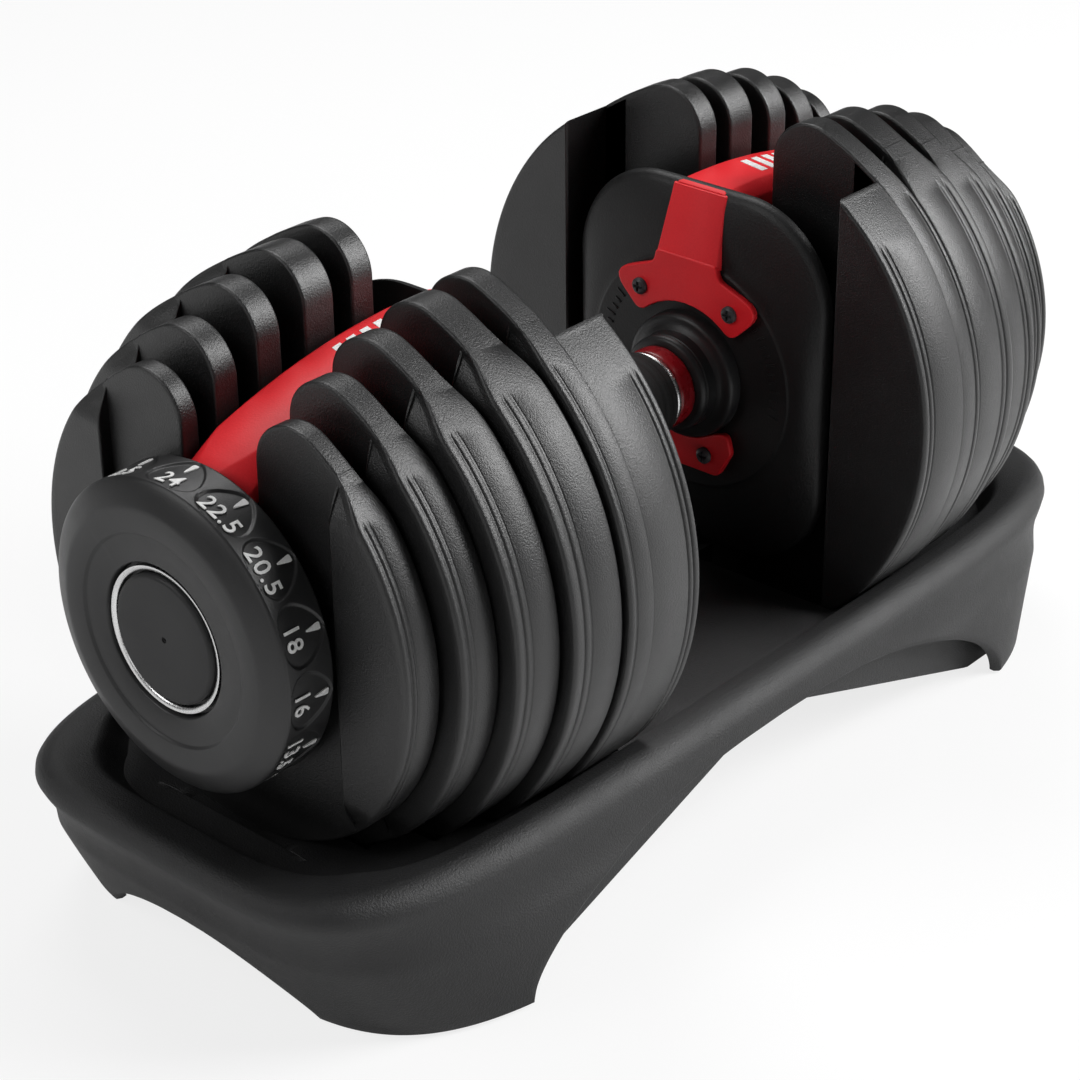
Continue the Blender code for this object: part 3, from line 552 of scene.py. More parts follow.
def horned_loop(radius, inset):
    """Outline of the middle band: out round the rim from one horn's tip to the other, and back
    down round the slot. Every arc is drawn in by the inset."""
    centre_y = SLOT_HALF + HORN_ROUND
    centre_z = math.sqrt((radius - HORN_ROUND) ** 2 - centre_y**2)
    touch = math.atan2(centre_z, centre_y)
    tip = (touch + math.pi) / 2
    side = np.linspace(-math.pi / 2, touch, 70)
    horn = np.linspace(touch, tip, 14)[1:]
    reach, round_off = radius - inset, HORN_ROUND - inset
    out_y = np.concatenate([reach * np.cos(side), centre_y + round_off * np.cos(horn)])
    out_z = np.concatenate([reach * np.sin(side), centre_z + round_off * np.sin(horn)])
    fall = np.linspace(tip, math.pi, 14)
    slot = np.linspace(0.0, -math.pi / 2, 20)
    # The way back has as many points as the way out.
    wall = np.linspace(centre_z, 0.0, len(out_y) - len(fall) - len(slot) + 2)[1:-1]
    half = SLOT_HALF + inset
    in_y = [centre_y + round_off * np.cos(fall), np.full(len(wall), half), half * np.cos(slot)]
    in_z = [centre_z + round_off * np.sin(fall), wall, half * np.sin(slot)]
    in_y, in_z = np.concatenate(in_y), np.concatenate(in_z)
    y = np.concatenate([-out_y[::-1], out_y[1:], in_y[1:], -in_y[::-1][1:-1]])
    z = np.concatenate([out_z[::-1], out_z[1:], in_z[1:], in_z[::-1][1:-1]])
    return y, z


def horned_band(radius, x_in, x_out):
    """The middle band between two planes, with a rounded edge all round."""
    round_off = 0.0009
    turn = np.linspace(0.0, math.pi / 2, 4)
    inset = np.concatenate([[round_off * 2.2], round_off * (1 - np.sin(turn)), [0.0]])
    depth = np.concatenate([[0.0], round_off * (1 - np.cos(turn)), [round_off * 1.6]])
    insets = np.concatenate([inset, inset[::-1]])
    places = np.concatenate([x_in + depth, x_out - depth[::-1]])
    loops = []
    for draw, x in zip(insets, places):
        y, z = horned_loop(radius - 0.0003, draw)
        loops.append(np.stack([np.full(len(y), x), y, z + AXIS_Z], -1))
    return ringed(np.array(loops))


def rim_segment(radius, half, x_in, x_out, side, flare_in, flare_out, grooves):
    """A thick rim segment on one side: an arc outside and a straight crease inside. Near its
    ends its faces draw in towards the band, so that the rim widens in a smooth flare."""
    edge, shoulder = 0.0013, 0.0003
    turn = np.linspace(0.0, math.pi / 2, 4)
    inset, depth = edge * (1 - np.sin(turn)), edge * (1 - np.cos(turn))
    profile = [(x_in, edge * 2.4), *zip(x_in + depth, inset)]
    grooves = sorted(grooves)
    for place, width, deep in grooves:
        for reach, draw in ((width / 2 + shoulder, 0.0), (width / 2, 0.0002), (width / 4, deep)):
            profile.append((place - reach, draw))
        for reach, draw in ((width / 4, deep), (width / 2, 0.0002), (width / 2 + shoulder, 0.0)):
            profile.append((place + reach, draw))
    profile += [*zip(x_out - depth[::-1], inset[::-1]), (x_out, edge * 2.4)]
    top = math.acos(half / radius)
    arc = np.linspace(-top, top, 120)
    # The flare's share is 0 at the segment's tips and 1 past the flare; the grooves start there.
    along = ease((top - np.abs(arc)) / FLARE)
    groove_share = ease((top - np.abs(arc) - FLARE + 0.04) / 0.03)
    share = np.concatenate([along, along[::-1]])
    middle_in = x_in + flare_in + (0.0004 if flare_in else 0.0)
    middle_out = x_out - flare_out - (0.0004 if flare_out else 0.0)
    loops = []
    for x, draw in profile:
        marked = any(abs(x - place) < width / 2 + 0.0004 for place, width, _ in grooves)
        reach = radius - draw * (groove_share if marked else 1.0) - 0.0004 * (1 - along) ** 2
        flat = half + (0.0 if marked else min(draw, edge) * 0.6)
        y = np.concatenate([np.maximum(reach * np.cos(arc), flat), np.full(len(arc), flat)])
        z = np.concatenate([reach * np.sin(arc), (reach * np.sin(arc))[::-1]])
        lean = min(max(x, middle_in), middle_out) - x
        loops.append(np.stack([x + lean * (1 - share), side * y, z + AXIS_Z], -1))
    return ringed(np.array(loops))


plate_coat = grained("plate_coat", (0.0048, 0.0048, 0.0050), 0.38, 0.0006, 0.00018, 0.08, 0.10, 0.64)
for end in END_SIGN:
    for number in range(1, 6):
        low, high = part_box(f"plate_{number}_far")
        width = high.x - low.x
        thick, reach_out = PLATE_CORES[number - 1]
        core_out = high.x - reach_out
        core_in = core_out - thick
        radius = (high.y - low.y) / 2
        sheets = [horned_band(radius, core_in, core_out)]
        for side in (1.0, -1.0):
            # A groove is given by its place along X, its width and its depth.
            if number < 5:
                start, flare_in = low.x, core_in - low.x
                first, second = high.x - 0.20 * width, high.x - 0.34 * width
                grooves = ((first, 0.0009, 0.0005), (second, 0.0008, 0.0004))
            else:
                start, flare_in = core_in, 0.0
                grooves = ((high.x - 0.0030, 0.0009, 0.0006),)
            shape = (CHANNEL_HALF, start, high.x, side, flare_in, high.x - core_out)
            sheets.append(rim_segment(radius, *shape, grooves))
            if number == 5:
                grooves = ((low.x + 0.0032, 0.0009, 0.0006), (low.x + 0.0058, 0.0008, 0.0005))
                shape = (LUMP_HALF, low.x, core_in + 0.002, side, 0.0, 0.0)
                sheets.append(rim_segment(radius, *shape, grooves))
        node = f"plate_{number}"
        end_piece(node, end, "casting", sheets, [plate_coat], f"{node}_{end}")


# ---- Selector discs ---------------------------------------------------------------------------
# Glass-filled nylon discs on the axle, between the plates; their notched collars hook the plates.
disc_nylon = grained("disc_nylon", (0.030, 0.030, 0.032), 0.5, 0.0007, 0.00008)
for name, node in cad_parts.items():
    if name.startswith("selector_disc"):
        node.data.materials.clear()
        node.data.materials.append(disc_nylon)


# ---- Selector dials ---------------------------------------------------------------------------
# A satin black moulding with fifteen pick-shaped recesses round its side. Each holds a setting
# in kilograms and a wedge in white paint. A bright ring and a button cap close its face.
def spun(profile, sides=192, phase=0.0):
    """A solid turned about the handle's axis from a closed (x, radius) profile."""
    profile = np.asarray(profile, float)
    turn = phase + np.linspace(0.0, 2 * math.pi, sides + 1)[:-1]
    x = np.repeat(profile[:, :1], sides, 1)
    y = np.outer(profile[:, 1], np.cos(turn))
    z = np.outer(profile[:, 1], np.sin(turn)) + AXIS_Z
    return facing_out(np.stack([x, y, z], -1), grid_faces(len(profile), sides, True, True))


SETTINGS = "24 22.5 20.5 18 16 13.5 11.5 10 9 8 6.5 5.5 4.5 3.5 2.5".split()
SPACING = 2 * math.pi / len(SETTINGS)
BEVEL = 0.0044
dial_low, dial_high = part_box("dial_far")
DIAL_R = (dial_high.y - dial_low.y) / 2
DIAL_IN, DIAL_OUT = dial_low.x, dial_high.x
ring_low, ring_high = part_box("dial_ring_far")
cap_low, cap_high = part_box("end_cap_far")
CAP_R = (cap_high.y - cap_low.y) / 2
PICK_IN, PICK_OUT = DIAL_IN + 0.0012, DIAL_IN + 0.0180
PICK_HALF, PICK_DEPTH = 0.0104, 0.0007
DIAL_BORE = 0.0065


def pick_share(x, arc):
    """How deep the pick recess is, from 0 to 1. Its half width follows a sine of the distance
    from its round end raised to a power, which makes its other end a point."""
    t = np.clip((PICK_OUT - x) / (PICK_OUT - PICK_IN), 0.0, 1.0)
    half = PICK_HALF * np.sin(math.pi * t**0.66) ** 0.60
    inside = (half - np.abs(arc)) / 0.0007
    return ease(inside) * (t > 0) * (t < 1)


def dial_body():
    """Rings along X round the dial; the side's radius is let in where a pick recess lies."""
    sides = len(SETTINGS) * 52
    turn = np.linspace(0.0, 2 * math.pi, sides + 1)[:-1]
    side_x = np.linspace(DIAL_IN + 0.0010, DIAL_OUT - BEVEL, 52)
    profile = [(DIAL_IN, DIAL_BORE), (DIAL_IN, DIAL_R - 0.0016), (DIAL_IN + 0.0004, DIAL_R - 0.0006)]
    profile += [(x, DIAL_R - 0.0001 - 0.0003 * (x - DIAL_IN) / 0.02) for x in side_x]
    for t in np.linspace(0.15, 1.0, 7):
        profile.append((DIAL_OUT - BEVEL + 0.0040 * t, DIAL_R - 0.0004 - 0.0078 * t**1.35))
    profile += [(DIAL_OUT - 0.0001, DIAL_R - 0.0092), (DIAL_OUT, DIAL_R - 0.0102)]
    profile += [(DIAL_OUT - 0.0001, 0.0366), (DIAL_OUT - 0.0003, 0.0361), (DIAL_OUT - 0.0009, 0.0357)]
    profile += [(DIAL_OUT - 0.0010, 0.0352), (DIAL_OUT - 0.0010, ring_high.y + 0.0018)]
    profile += [(DIAL_OUT - 0.0015, ring_high.y + 0.0012), (DIAL_OUT - 0.0050, ring_high.y + 0.0010)]
    profile += [(DIAL_OUT - 0.0060, 0.0160), (DIAL_OUT - 0.0150, 0.0110), (DIAL_OUT - 0.0150, DIAL_BORE)]
    profile = np.array(profile)
    x = np.repeat(profile[:, :1], sides, 1)
    nearest = (turn - math.pi / 2 + SPACING / 2) % SPACING - SPACING / 2
    depth = pick_share(x, nearest * DIAL_R) * PICK_DEPTH
    row = np.arange(len(profile))[:, None]
    radius = profile[:, 1:] - np.where((row > 1) & (row < 4 + len(side_x)), depth, 0.0)
    y = radius * np.cos(turn)
    z = radius * np.sin(turn) + AXIS_Z
    return facing_out(np.stack([x, y, z], -1), grid_faces(len(profile), sides, True, True))


def wrapped(across, along, lift, faces, index, paint):
    """Flat work laid on the dial's side at one setting: across runs clockwise seen from outside,
    along runs towards the plates, and lift is the height off the recess's floor."""
    turn = math.pi / 2 - SPACING * index - across / DIAL_R
    radius = DIAL_R - PICK_DEPTH - 0.0003 + lift
    x = PICK_OUT - along
    points = np.stack([x, radius * np.cos(turn), radius * np.sin(turn) + AXIS_Z], -1)
    return points, faces, paint


FIGURE_SEAM = 1e-7


def figures(text, height):
    """A number as thin raised figures, centred across, as flat points and their faces."""
    curve = bpy.data.curves.new("figures", "FONT")
    curve.body = text
    curve.size = height * 1.38
    curve.align_x = "CENTER"
    curve.extrude = 0.00018
    curve.offset = 0.00006
    curve.resolution_u = 3
    curve.space_character = 1.08
    holder = bpy.data.objects.new("figures", curve)
    bpy.context.collection.objects.link(holder)
    bpy.context.view_layer.update()
    mesh = bpy.data.meshes.new_from_object(holder.evaluated_get(bpy.context.evaluated_depsgraph_get()))
    bpy.data.objects.remove(holder)
    # The font's faces and sides come apart, so their edges are joined.
    joined = bmesh.new()
    joined.from_mesh(mesh)
    bmesh.ops.remove_doubles(joined, verts=joined.verts, dist=FIGURE_SEAM)
    bmesh.ops.recalc_face_normals(joined, faces=joined.faces)
    joined.to_mesh(mesh)
    joined.free()
    flat = np.empty(len(mesh.vertices) * 3)
    mesh.vertices.foreach_get("co", flat)
    faces = [list(polygon.vertices) for polygon in mesh.polygons]
    bpy.data.meshes.remove(mesh)
    return flat.reshape(-1, 3), faces


def wedge():
    """A tapered bar with soft corners: broad towards the plates and narrow towards the number."""
    t = np.linspace(0.0, 2 * math.pi, 25)[:-1]
    c, s = np.cos(t), np.sin(t)
    along = 0.0027 * np.sign(s) * np.abs(s) ** 0.35
    across = (0.00085 + 0.2 * along) * np.sign(c) * np.abs(c) ** 0.45
    rows = [np.stack([across, along, np.full_like(t, lift)], -1) for lift in (0.0, 0.00055)]
    return capped(np.array(rows))


# Where the figures' feet and the wedge's middle stand, measured from a recess's outer end.
FIGURE_HEIGHT, FIGURE_PLACE, WEDGE_PLACE = 0.0063, 0.0018, 0.0128
sheets = [dial_body()]
for index, text in enumerate(SETTINGS):
    flat, faces = figures(text, FIGURE_HEIGHT)
    sheets.append(wrapped(flat[:, 0], flat[:, 1] + FIGURE_PLACE, flat[:, 2] + 0.0004, faces, index, 1))
    flat, faces = wedge()
    flat = flat.reshape(-1, 3)
    sheets.append(wrapped(flat[:, 0], flat[:, 1] + WEDGE_PLACE, flat[:, 2], faces, index, 1))

dial_plastic = grained("dial_plastic", (0.0120, 0.0120, 0.0124), 0.40, 0.0005, 0.00006, 0.3, 0.10, 0.45)
paint = Finish("white_paint")
speck = paint.noise(paint.place(), 0.0008, 2.0)
paint_tone = paint.blend(paint.spread(speck, 0.3, 0.7), (0.72, 0.72, 0.71, 1.0), (0.86, 0.86, 0.85, 1.0))
white_paint = paint.surface(
    Base_Color=paint_tone,
    Roughness=paint.spread(speck, 0.3, 0.7, 0.42, 0.55),
    Normal=paint.bump(speck, 0.00003),
)
for end in END_SIGN:
    finishes = [dial_plastic, white_paint]
    end_piece("dial", end, "moulding", sheets, finishes, f"dial_set_{end}")

ring_in, ring_out = CAP_R + 0.0005, ring_high.y - 0.0001
ring_profile = [
    (DIAL_OUT - 0.0056, ring_in), (DIAL_OUT - 0.0026, ring_in), (DIAL_OUT - 0.0023, ring_in + 0.0002),
    (DIAL_OUT - 0.0017, ring_out - 0.0003), (DIAL_OUT - 0.0018, ring_out), (DIAL_OUT - 0.0056, ring_out),
]
cap_face, cap_edge = DIAL_OUT - 0.0012, CAP_R - 0.0004
cap_profile = [(cap_low.x, 0.0005), (cap_low.x, CAP_R - 0.0010), (cap_low.x + 0.0006, cap_edge)]
cap_profile.append((cap_face - 0.0022, cap_edge))
for t in np.linspace(0.0, math.pi / 2, 6):
    back, inset = 0.0016 * (1 - math.sin(t)), 0.0016 * (1 - math.cos(t))
    cap_profile.append((cap_face - back, cap_edge - inset))
cap_profile += [(cap_face - 0.0003, CAP_R * 0.5), (cap_face - 0.0004, 0.0011)]
cap_profile += [(cap_face - 0.0009, 0.0009), (cap_face - 0.0009, 0.0005)]

bright = Finish("bright_ring")
drawn_out = {"Vector": bright.place(), "Scale": (1.0, 9.0, 9.0)}
streak = bright.noise(bright.node("ShaderNodeMapping", {}, drawn_out), 0.004, 3.0)
bright_ring = bright.surface(
    Base_Color=bright.blend(streak, (0.62, 0.62, 0.62, 1.0), (0.86, 0.86, 0.86, 1.0)),
    Roughness=bright.spread(streak, 0.3, 0.7, 0.22, 0.38),
    Metallic=1.0,
    Normal=bright.bump(streak, 0.00002),
)
cap_plastic = grained("cap_plastic", (0.0150, 0.0150, 0.0155), 0.48, 0.0005, 0.00005, 0.25, 0.2)
for end in END_SIGN:
    body = f"dial_set_{end}"
    end_piece("dial_ring", end, "band", [spun(ring_profile)], [bright_ring], body)
    end_piece("end_cap", end, "button", [spun(cap_profile)], [cap_plastic], body)


# ---- Inner covers -----------------------------------------------------------------------------
# A soft-edged square shell in matt black plastic closes each end's mechanism. A raised ring and
# small raised ticks are moulded round its middle.
cover_low, cover_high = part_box("inner_cover_far")
COVER_X, COVER_BACK = cover_low.x, cover_high.x
COVER_Y, COVER_Z = cover_high.y, cover_high.z - AXIS_Z
COVER_CORNER, COVER_SHOULDER, COVER_BORE = 0.038, 0.0060, 0.0150


def cover_outline(turn):
    """Distance from the axis to a rectangle with big round corners, at each angle: the corner
    arc where the ray meets it, else the flat side."""
    c, s = np.abs(np.cos(turn)), np.abs(np.sin(turn))
    cy, cz = COVER_Y - COVER_CORNER, COVER_Z - COVER_CORNER
    side = np.minimum(COVER_Y / np.maximum(c, 1e-6), COVER_Z / np.maximum(s, 1e-6))
    along = c * cy + s * cz
    root = np.sqrt(np.maximum(along**2 - (cy**2 + cz**2 - COVER_CORNER**2), 0.0))
    corner = along + root
    on_corner = (corner * c > cy) & (corner * s > cz)
    return np.where(on_corner, corner, side)


def cover_shell():
    """Polar rings from the bore to the edge: flat, then a soft shoulder, then the wall."""
    turn = np.linspace(0.0, 2 * math.pi, 361)[:-1]
    edge = cover_outline(turn)
    start = 0.0465
    rows = [(COVER_BORE, COVER_BACK), (COVER_BORE, COVER_X)]
    rows += [(reach, COVER_X) for reach in (0.030, 0.0440, 0.0448, 0.0452)]
    rows += [(0.0456, COVER_X + 0.0004), (0.0462, COVER_X + 0.0005)]
    for t in np.linspace(0.0, 1.0, 13):
        drop = COVER_SHOULDER * (0.25 * t + 0.75 * t**2.6)
        rows.append((start + (edge - 0.0012 - start) * t, COVER_X + 0.0006 + drop * 0.8))
    wall = COVER_X + COVER_SHOULDER
    rows += [(edge - 0.0003, wall + 0.0010), (edge, wall + 0.0020)]
    rows += [(edge, COVER_BACK - 0.0004), (edge - 0.0008, COVER_BACK)]
    points = np.array([
        np.stack([np.full(len(turn), x), reach * np.cos(turn), reach * np.sin(turn) + AXIS_Z], -1)
        for reach, x in rows
    ])
    return facing_out(points, grid_faces(len(rows), len(turn), True, True))


cover_plastic = grained("cover_plastic", (0.0065, 0.0065, 0.0067), 0.44, 0.0008, 0.00012, 0.3, 0.12)
# The ticks: how far out they start, half their width and their spacing in degrees.
TICK_REACH, TICK_HALF, TICK_STEP = 0.0378, 0.0004, 5.0
sheets = [cover_shell()]
for middle in (20.0, 160.0):
    for step in range(-6, 7):
        angle = math.radians(middle + TICK_STEP * step - 90.0)
        tall = 0.0030 if step % 3 else 0.0044
        x, y = (COVER_X - 0.0004, COVER_X + 0.0004), (-TICK_HALF, TICK_HALF)
        sheets.append(block(x, y, (TICK_REACH, TICK_REACH + tall), angle, 0.2))
for end in END_SIGN:
    end_piece("inner_cover", end, "shell", sheets, [cover_plastic], "handle")


# ---- Red bridges and lower brackets ----------------------------------------------------------
# Bright red satin mouldings. The bridge runs over the plates from the inner cover to the axle
# behind the dial, where it ends in a blunt arrow; a winged pad and two screws hold it.
bridge_low, bridge_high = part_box("red_bridge_far")
BRIDGE_IN, BRIDGE_OUT = bridge_low.x, bridge_high.x
PAD_BACK = COVER_X - 0.0002
FOLD_Z = bridge_high.z - AXIS_Z - 0.0005
WAIST_Z = 0.0445
STEM_LEAN = 0.0080
BEAM_HALF, BEAM_FLAT = 0.0145, 0.0098


def parallel_loop(y, z, inset):
    """A closed outline drawn in by the inset along the mean of each corner's two normals."""
    py, pz = np.roll(y, 1), np.roll(z, 1)
    ny, nz = np.roll(y, -1), np.roll(z, -1)
    ay, az = pz - z, y - py
    by, bz = z - nz, ny - y
    la, lb = np.hypot(ay, az), np.hypot(by, bz)
    oy, oz = ay / la + by / lb, az / la + bz / lb
    size = np.maximum(np.hypot(oy, oz), 0.7)
    return y + inset * oy / size, z + inset * oz / size


def rounded(corners, steps=7):
    """A closed outline through (y, z, radius) corners, each replaced by its fillet arc."""
    out = []
    corners = np.asarray(corners, float)
    for i, (y, z, radius) in enumerate(corners):
        here = np.array([y, z])
        before = corners[i - 1][:2] - here
        after = corners[(i + 1) % len(corners)][:2] - here
        before, after = before / np.linalg.norm(before), after / np.linalg.norm(after)
        half = math.acos(np.clip(before @ after, -1, 1)) / 2
        back = radius / math.tan(half)
        start, stop = here + before * back, here + after * back
        t = np.linspace(0.0, 1.0, steps)[:, None]
        # A quadratic curve through the corner stands for the arc.
        out.append((1 - t) ** 2 * start + 2 * t * (1 - t) * here + t**2 * stop)
    out = np.concatenate(out)
    return out[:, 0], out[:, 1]


def pad_solid(y, z, front, back):
    """A flat pad between two planes from a closed outline, with rounded edges."""
    edge, rows = 0.0005, []
    for inset, x in (
        (edge * 1.8, front), (edge, front), (edge * 0.3, front + edge * 0.3),
        (0.0, front + edge), (0.0, back - edge), (edge, back),
    ):
        ry, rz = parallel_loop(y, z, inset)
        rows.append(np.stack([np.full(len(y), x), ry, rz + AXIS_Z], -1))
    return capped(np.array(rows))


def beam_top(x):
    """The beam's top: level by the fold, then falling by the square of the distance."""
    return FOLD_Z - 2.02 * np.maximum(x - BRIDGE_IN - 0.0184, 0.0) ** 2


pad_half = [
    (0.0212, 0.0195, 0.0045), (0.0355, 0.0335, 0.0062),
    (0.0148, 0.0412, 0.0050), (0.0138, 0.0465, 0.0020),
]
PAD_BITE = 0.0285
hub_arc = [(PAD_BITE * math.sin(a), PAD_BITE * math.cos(a), 0.0005) for a in np.linspace(-0.62, 0.62, 9)]
pad_y, pad_z = rounded(hub_arc + pad_half + [(-y, z, r) for y, z, r in pad_half[::-1]])
pad = pad_solid(pad_y, pad_z, BRIDGE_IN, BRIDGE_IN + 0.0030)


def stem():
    """Sections up the stem: a soft-edged bar that narrows and leans back from waist to fold."""
    soft, thick = 0.0006, 0.0034
    rows = []
    for t in (0.0, 0.02, 0.10, 0.35, 0.65, 0.90, 0.975, 1.0):
        # The last section draws in, to round off the fold.
        front = BRIDGE_IN + STEM_LEAN * t + (0.0006 if t == 1.0 else 0.0)
        z = WAIST_Z - 0.0005 + (FOLD_Z - WAIST_Z) * t - (0.0004 if t == 1.0 else 0.0)
        half = 0.0139 - 0.0018 * t
        edge = [(-half, thick), (half, thick), (half, soft), (half - soft, 0.0)]
        edge += [(-half + soft, 0.0), (-half, soft)]
        rows.append([(front + back, y, z + AXIS_Z) for y, back in edge])
    return capped(np.array(rows))


def beam():
    """Six-sided sections along X: a flat top between two chamfers. The last sections draw to an
    arrow at the dial, and the first bend down into the stem."""
    stations = [
        # x, half width, drop below the top's curve, the chamfer's fall, share of the flat
        (BRIDGE_IN + STEM_LEAN + 0.0004, 0.0120, 0.0006, 0.0036, 1.0),
        (BRIDGE_IN + STEM_LEAN + 0.0010, 0.0122, 0.0001, 0.0040, 1.0),
        (BRIDGE_IN + STEM_LEAN + 0.0040, 0.0130, 0.0, 0.0046, 1.0),
    ]
    start, stop = BRIDGE_IN + 0.016, BRIDGE_OUT - 0.0150
    stations += [(x, BEAM_HALF, 0.0, 0.0048, 1.0) for x in np.linspace(start, stop, 14)]
    stations += [
        (BRIDGE_OUT - 0.0100, BEAM_HALF, 0.0, 0.0058, 0.86),
        (BRIDGE_OUT - 0.0055, BEAM_HALF, 0.0, 0.0070, 0.66),
        (BRIDGE_OUT - 0.0012, BEAM_HALF, 0.0, 0.0084, 0.46),
        (BRIDGE_OUT - 0.0004, BEAM_HALF - 0.0008, 0.0008, 0.0084, 0.42),
    ]
    deep, soft = 0.0125, 0.0005
    rows = []
    for x, half, drop, chamfer, flat in stations:
        top = beam_top(x) - drop
        under = top - deep
        ridge = BEAM_FLAT * flat
        section = [
            (half, under), (half, top - chamfer - soft),
            (half - soft, top - chamfer + soft * 0.6), (ridge + soft * 1.6, top - soft * 0.7),
            (ridge - soft * 0.6, top),
        ]
        section += [(-y, z) for y, z in section[::-1]]
        rows.append([(x, y, z + AXIS_Z) for y, z in section])
    return capped(np.array(rows))


LEG_HALF = BEAM_HALF - 0.0012
leg_y, leg_z = rounded([
    (LEG_HALF, 0.046, 0.002), (-LEG_HALF, 0.046, 0.002),
    (-LEG_HALF, -0.0100, 0.006), (LEG_HALF, -0.0100, 0.006),
])
leg = pad_solid(leg_y, leg_z, BRIDGE_OUT - 0.0050, BRIDGE_OUT - 0.0002)

red = Finish("red_moulding")
at = red.place()
fine = red.noise(at, 0.0007, 2.0)
cloud = red.noise(at, 0.030, 2.0)
scuff = red.noise(at, 0.004, 4.0, 0.7)
edge = red.spread(red.node("ShaderNodeNewGeometry", {}, {}, "Pointiness"), 0.51, 0.60)
red_tone = red.blend(
    red.spread((cloud - 0.5) * 0.7 + (fine - 0.5) * 0.3 + edge * 0.3, -0.2, 0.45),
    (0.68, 0.008, 0.014, 1.0), (0.92, 0.024, 0.034, 1.0),
)
red_moulding = red.surface(
    Base_Color=red_tone,
    Roughness=red.spread(scuff * 0.5 + cloud * 0.5, 0.3, 0.7, 0.42, 0.54),
    Specular_IOR_Level=0.35,
    Normal=red.bump(fine, 0.00005),
)

# Four plain slanted bars decorate the beam.
BAR_START, BAR_PITCH, BAR_WIDE, BAR_SLANT, BAR_HALF = 0.038, 0.0062, 0.0036, 0.0016, 0.0062
bars = []
for step in range(4):
    across, along = np.array([0.0, 1.0, 1.0, 0.0]), np.array([-1.0, -1.0, 1.0, 1.0])
    x = BRIDGE_IN + BAR_START + BAR_PITCH * step + BAR_WIDE * across + BAR_SLANT * along
    top = beam_top(x) + AXIS_Z
    rows = [np.stack([x, BAR_HALF * along, top + lift], -1) for lift in (-0.0004, 0.00015)]
    bars.append((*capped(np.array(rows)), 1))

BRACKET_BITE = 0.0250
bite_turn = np.linspace(0.62, -0.62, 5)
bite = [(BRACKET_BITE * math.sin(a), -BRACKET_BITE * math.cos(a), 0.001) for a in bite_turn]
wing = [(-0.0205, -0.0185, 0.003), (-0.0228, -0.0262, 0.004), (-0.0168, -0.0372, 0.004)]
low_y, low_z = rounded(bite + wing + [(-y, z, r) for y, z, r in wing[::-1]])
bracket = pad_solid(low_y, low_z, BRIDGE_IN + 0.0002, PAD_BACK)
for end in END_SIGN:
    sheets, finishes = [pad, stem(), beam(), leg, *bars], [red_moulding, white_paint]
    end_piece("red_bridge", end, "moulding", sheets, finishes, "handle")
    end_piece("lower_bracket", end, "moulding", [bracket], [red_moulding], "handle")


# ---- Screws -----------------------------------------------------------------------------------
# Black-oxide pan-head screws with a cross recess, driven through the red pads into the covers.
def screw_head(low, high):
    """A polar grid over the head: a domed top let in where the cross-shaped recess lies."""
    cy, cz = (low.y + high.y) / 2, (low.z + high.z) / 2
    head = (high.y - low.y) / 2
    turn = np.linspace(0.0, 2 * math.pi, 97)[:-1]
    reach = np.array([0.02, 0.16, 0.22, 0.30, 0.42, 0.54, 0.62, 0.68, 0.80, 0.92, 1.0, 1.0, 0.02])
    depth = 0.0009 * np.clip((reach - 0.55) / 0.45, 0, 1) ** 2
    depth[-2:] = 0.0019
    arm = np.minimum(np.abs(np.cos(turn)), np.abs(np.sin(turn)))[None, :] * reach[:, None]
    recess = ease((0.17 - arm) / 0.05) * ease((0.64 - reach[:, None]) / 0.06) * 0.0011
    recess[-3:] = 0.0
    x = low.x + depth[:, None] + recess
    y = cy + head * reach[:, None] * np.cos(turn)
    z = cz + head * reach[:, None] * np.sin(turn)
    return facing_out(np.stack([x, y, z], -1), grid_faces(len(reach), len(turn), True, True))


black_oxide = grained("black_oxide", (0.030, 0.030, 0.032), 0.38, 0.0004, 0.00003, 0.6, 0.1)
for end in END_SIGN:
    for node in ("screw_upper_left", "screw_upper_right", "screw_lower_left", "screw_lower_right"):
        head = screw_head(*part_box(node + "_far"))
        end_piece(node, end, "head", [head], [black_oxide], "handle")


# ---- Hub collars, red rings and grip ---------------------------------------------------------
# Dark satin collars carry the handle into the covers; a red ring with a bright edge and a ribbed
# rubber grip fill the space between them. The ring's red is darkened with painted shade.
flange_low, flange_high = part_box("hub_collar_far")
FLANGE_R = (flange_high.y - flange_low.y) / 2
FERRULE_R = 0.0185
flange_face = flange_high.x - 0.0054
collar_profile = [
    (flange_high.x, 0.0146), (flange_high.x, FLANGE_R), (flange_face + 0.0012, FLANGE_R - 0.0003),
    (flange_face + 0.0004, FLANGE_R - 0.0009), (flange_face, FLANGE_R - 0.0022),
    (flange_face - 0.0002, 0.0208), (flange_face - 0.0009, 0.0200),
    (flange_face - 0.0016, FERRULE_R + 0.0002),
    (flange_face - 0.0030, FERRULE_R), (flange_low.x + 0.0034, FERRULE_R),
    (flange_low.x + 0.0031, FERRULE_R - 0.0004), (flange_low.x + 0.0027, FERRULE_R - 0.0004),
    (flange_low.x + 0.0024, FERRULE_R), (flange_low.x + 0.0010, FERRULE_R - 0.0002),
    (flange_low.x, FERRULE_R - 0.0014), (flange_low.x, 0.0146),
]
collar_plastic = grained("collar_plastic", (0.0110, 0.0110, 0.0114), 0.36, 0.0006, 0.00006, 0.3, 0.15)
ring_low, ring_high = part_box("grip_ring_far")
RING_R = (ring_high.y - ring_low.y) / 2
ring_profile = [(ring_low.x + 0.0022, 0.0143)]
for t in np.linspace(0.0, math.pi, 9):
    x = ring_low.x + 0.0022 + (ring_high.x - ring_low.x - 0.0022) * (1 - math.cos(t)) / 2
    ring_profile.append((x, RING_R - 0.0008 * (1 - math.sin(t)) ** 2))
ring_profile.append((ring_high.x, 0.0143))
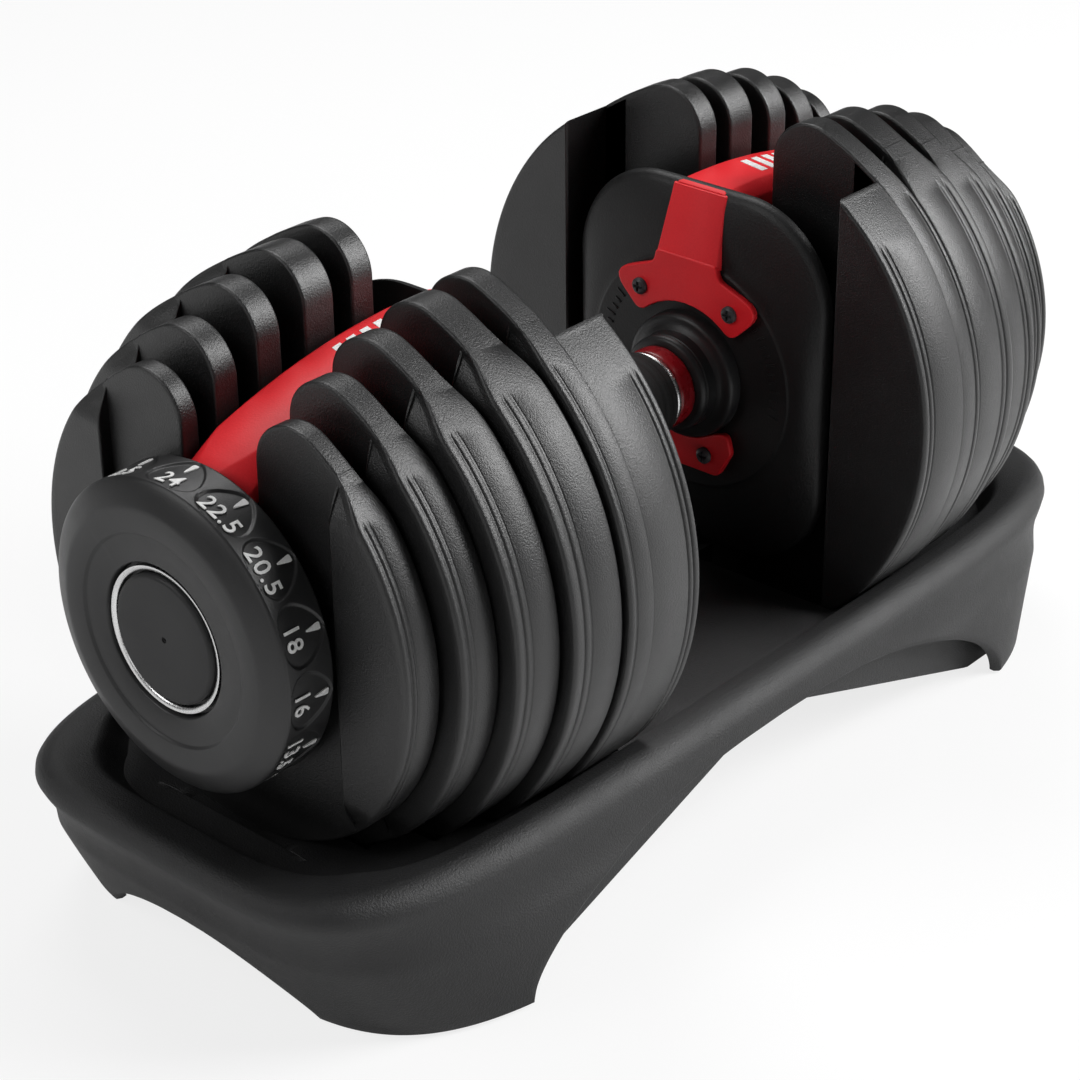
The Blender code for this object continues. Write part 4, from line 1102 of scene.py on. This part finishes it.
edge_profile = [
    (ring_low.x, 0.0143), (ring_low.x, RING_R - 0.0004), (ring_low.x + 0.0004, RING_R),
    (ring_low.x + 0.0016, RING_R), (ring_low.x + 0.0020, RING_R - 0.0004), (ring_low.x + 0.0020, 0.0143),
]
# The ring's red is darker than the bridges' red: painted shade for the shade it sits in between the
# collar and the grip.
ring_shade_finish = Finish("shaded_red_ring")
cloud = ring_shade_finish.noise(ring_shade_finish.place(), 0.004, 3.0)
shaded_red_ring = ring_shade_finish.surface(
    Base_Color=ring_shade_finish.blend(cloud, (0.16, 0.003, 0.006, 1.0), (0.32, 0.006, 0.012, 1.0)),
    Roughness=ring_shade_finish.spread(cloud, 0.3, 0.7, 0.22, 0.34),
    Normal=ring_shade_finish.bump(cloud, 0.00004),
)
for end in END_SIGN:
    for node, part, profile, finish, slot in (
        ("hub_collar", "moulding", collar_profile, collar_plastic, "dark_plastic"),
        ("grip_ring", "moulding", ring_profile, shaded_red_ring, "red_plastic"),
        ("grip_ring", "bright_edge", edge_profile, bright_ring, "bright_ring"),
    ):
        end_piece(node, end, part, [spun(profile)], [finish], "handle", part == "moulding")

GRIP_R, GRIP_BORE, RIB_PITCH = (grip_high.y - grip_low.y) / 2, 0.0146, 0.0045


def grip_sleeve():
    """A sleeve that swells slightly at its middle, with shallow grooves along X where a cosine
    is above nought."""
    x = np.linspace(grip_low.x + 0.0015, grip_high.x - 0.0015, 111)
    swell = 0.0007 * (1 - (x / grip_high.x) ** 2)
    radius = GRIP_R - 0.0010 + swell - 0.0004 * np.maximum(np.cos(x * 2 * math.pi / RIB_PITCH), 0.0)
    profile = [(grip_low.x, GRIP_BORE), (grip_low.x, GRIP_R - 0.0020), *zip(x, radius)]
    return spun(profile + [(grip_high.x, GRIP_R - 0.0020), (grip_high.x, GRIP_BORE)], 128)


grip_rubber = grained("grip_rubber", (0.008, 0.008, 0.008), 0.75, 0.0011, 0.00015, 0.3, 0.1)
skin("grip_sleeve", [grip_sleeve()], [grip_rubber], "handle", ["rubber_grip"])


# ---- Steelwork --------------------------------------------------------------------------------
# Plated steel: the axle, the handle tube, the dial nuts, and the lock pins and their springs.
steel = Finish("plated_steel")
drawn_out = {"Vector": steel.place(), "Scale": (1.0, 14.0, 14.0)}
drawn = steel.noise(steel.node("ShaderNodeMapping", {}, drawn_out), 0.006, 3.0)
plated_steel = steel.surface(
    Base_Color=steel.blend(drawn, (0.42, 0.42, 0.43, 1.0), (0.62, 0.62, 0.63, 1.0)),
    Roughness=steel.spread(drawn, 0.3, 0.7, 0.24, 0.42),
    Metallic=1.0,
    Normal=steel.bump(drawn, 0.00003),
)
for name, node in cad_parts.items():
    if name in ("axle_rod", "handle_tube") or name.startswith(("dial_nut", "lock_")):
        node.data.materials.clear()
        node.data.materials.append(plated_steel)

low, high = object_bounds()
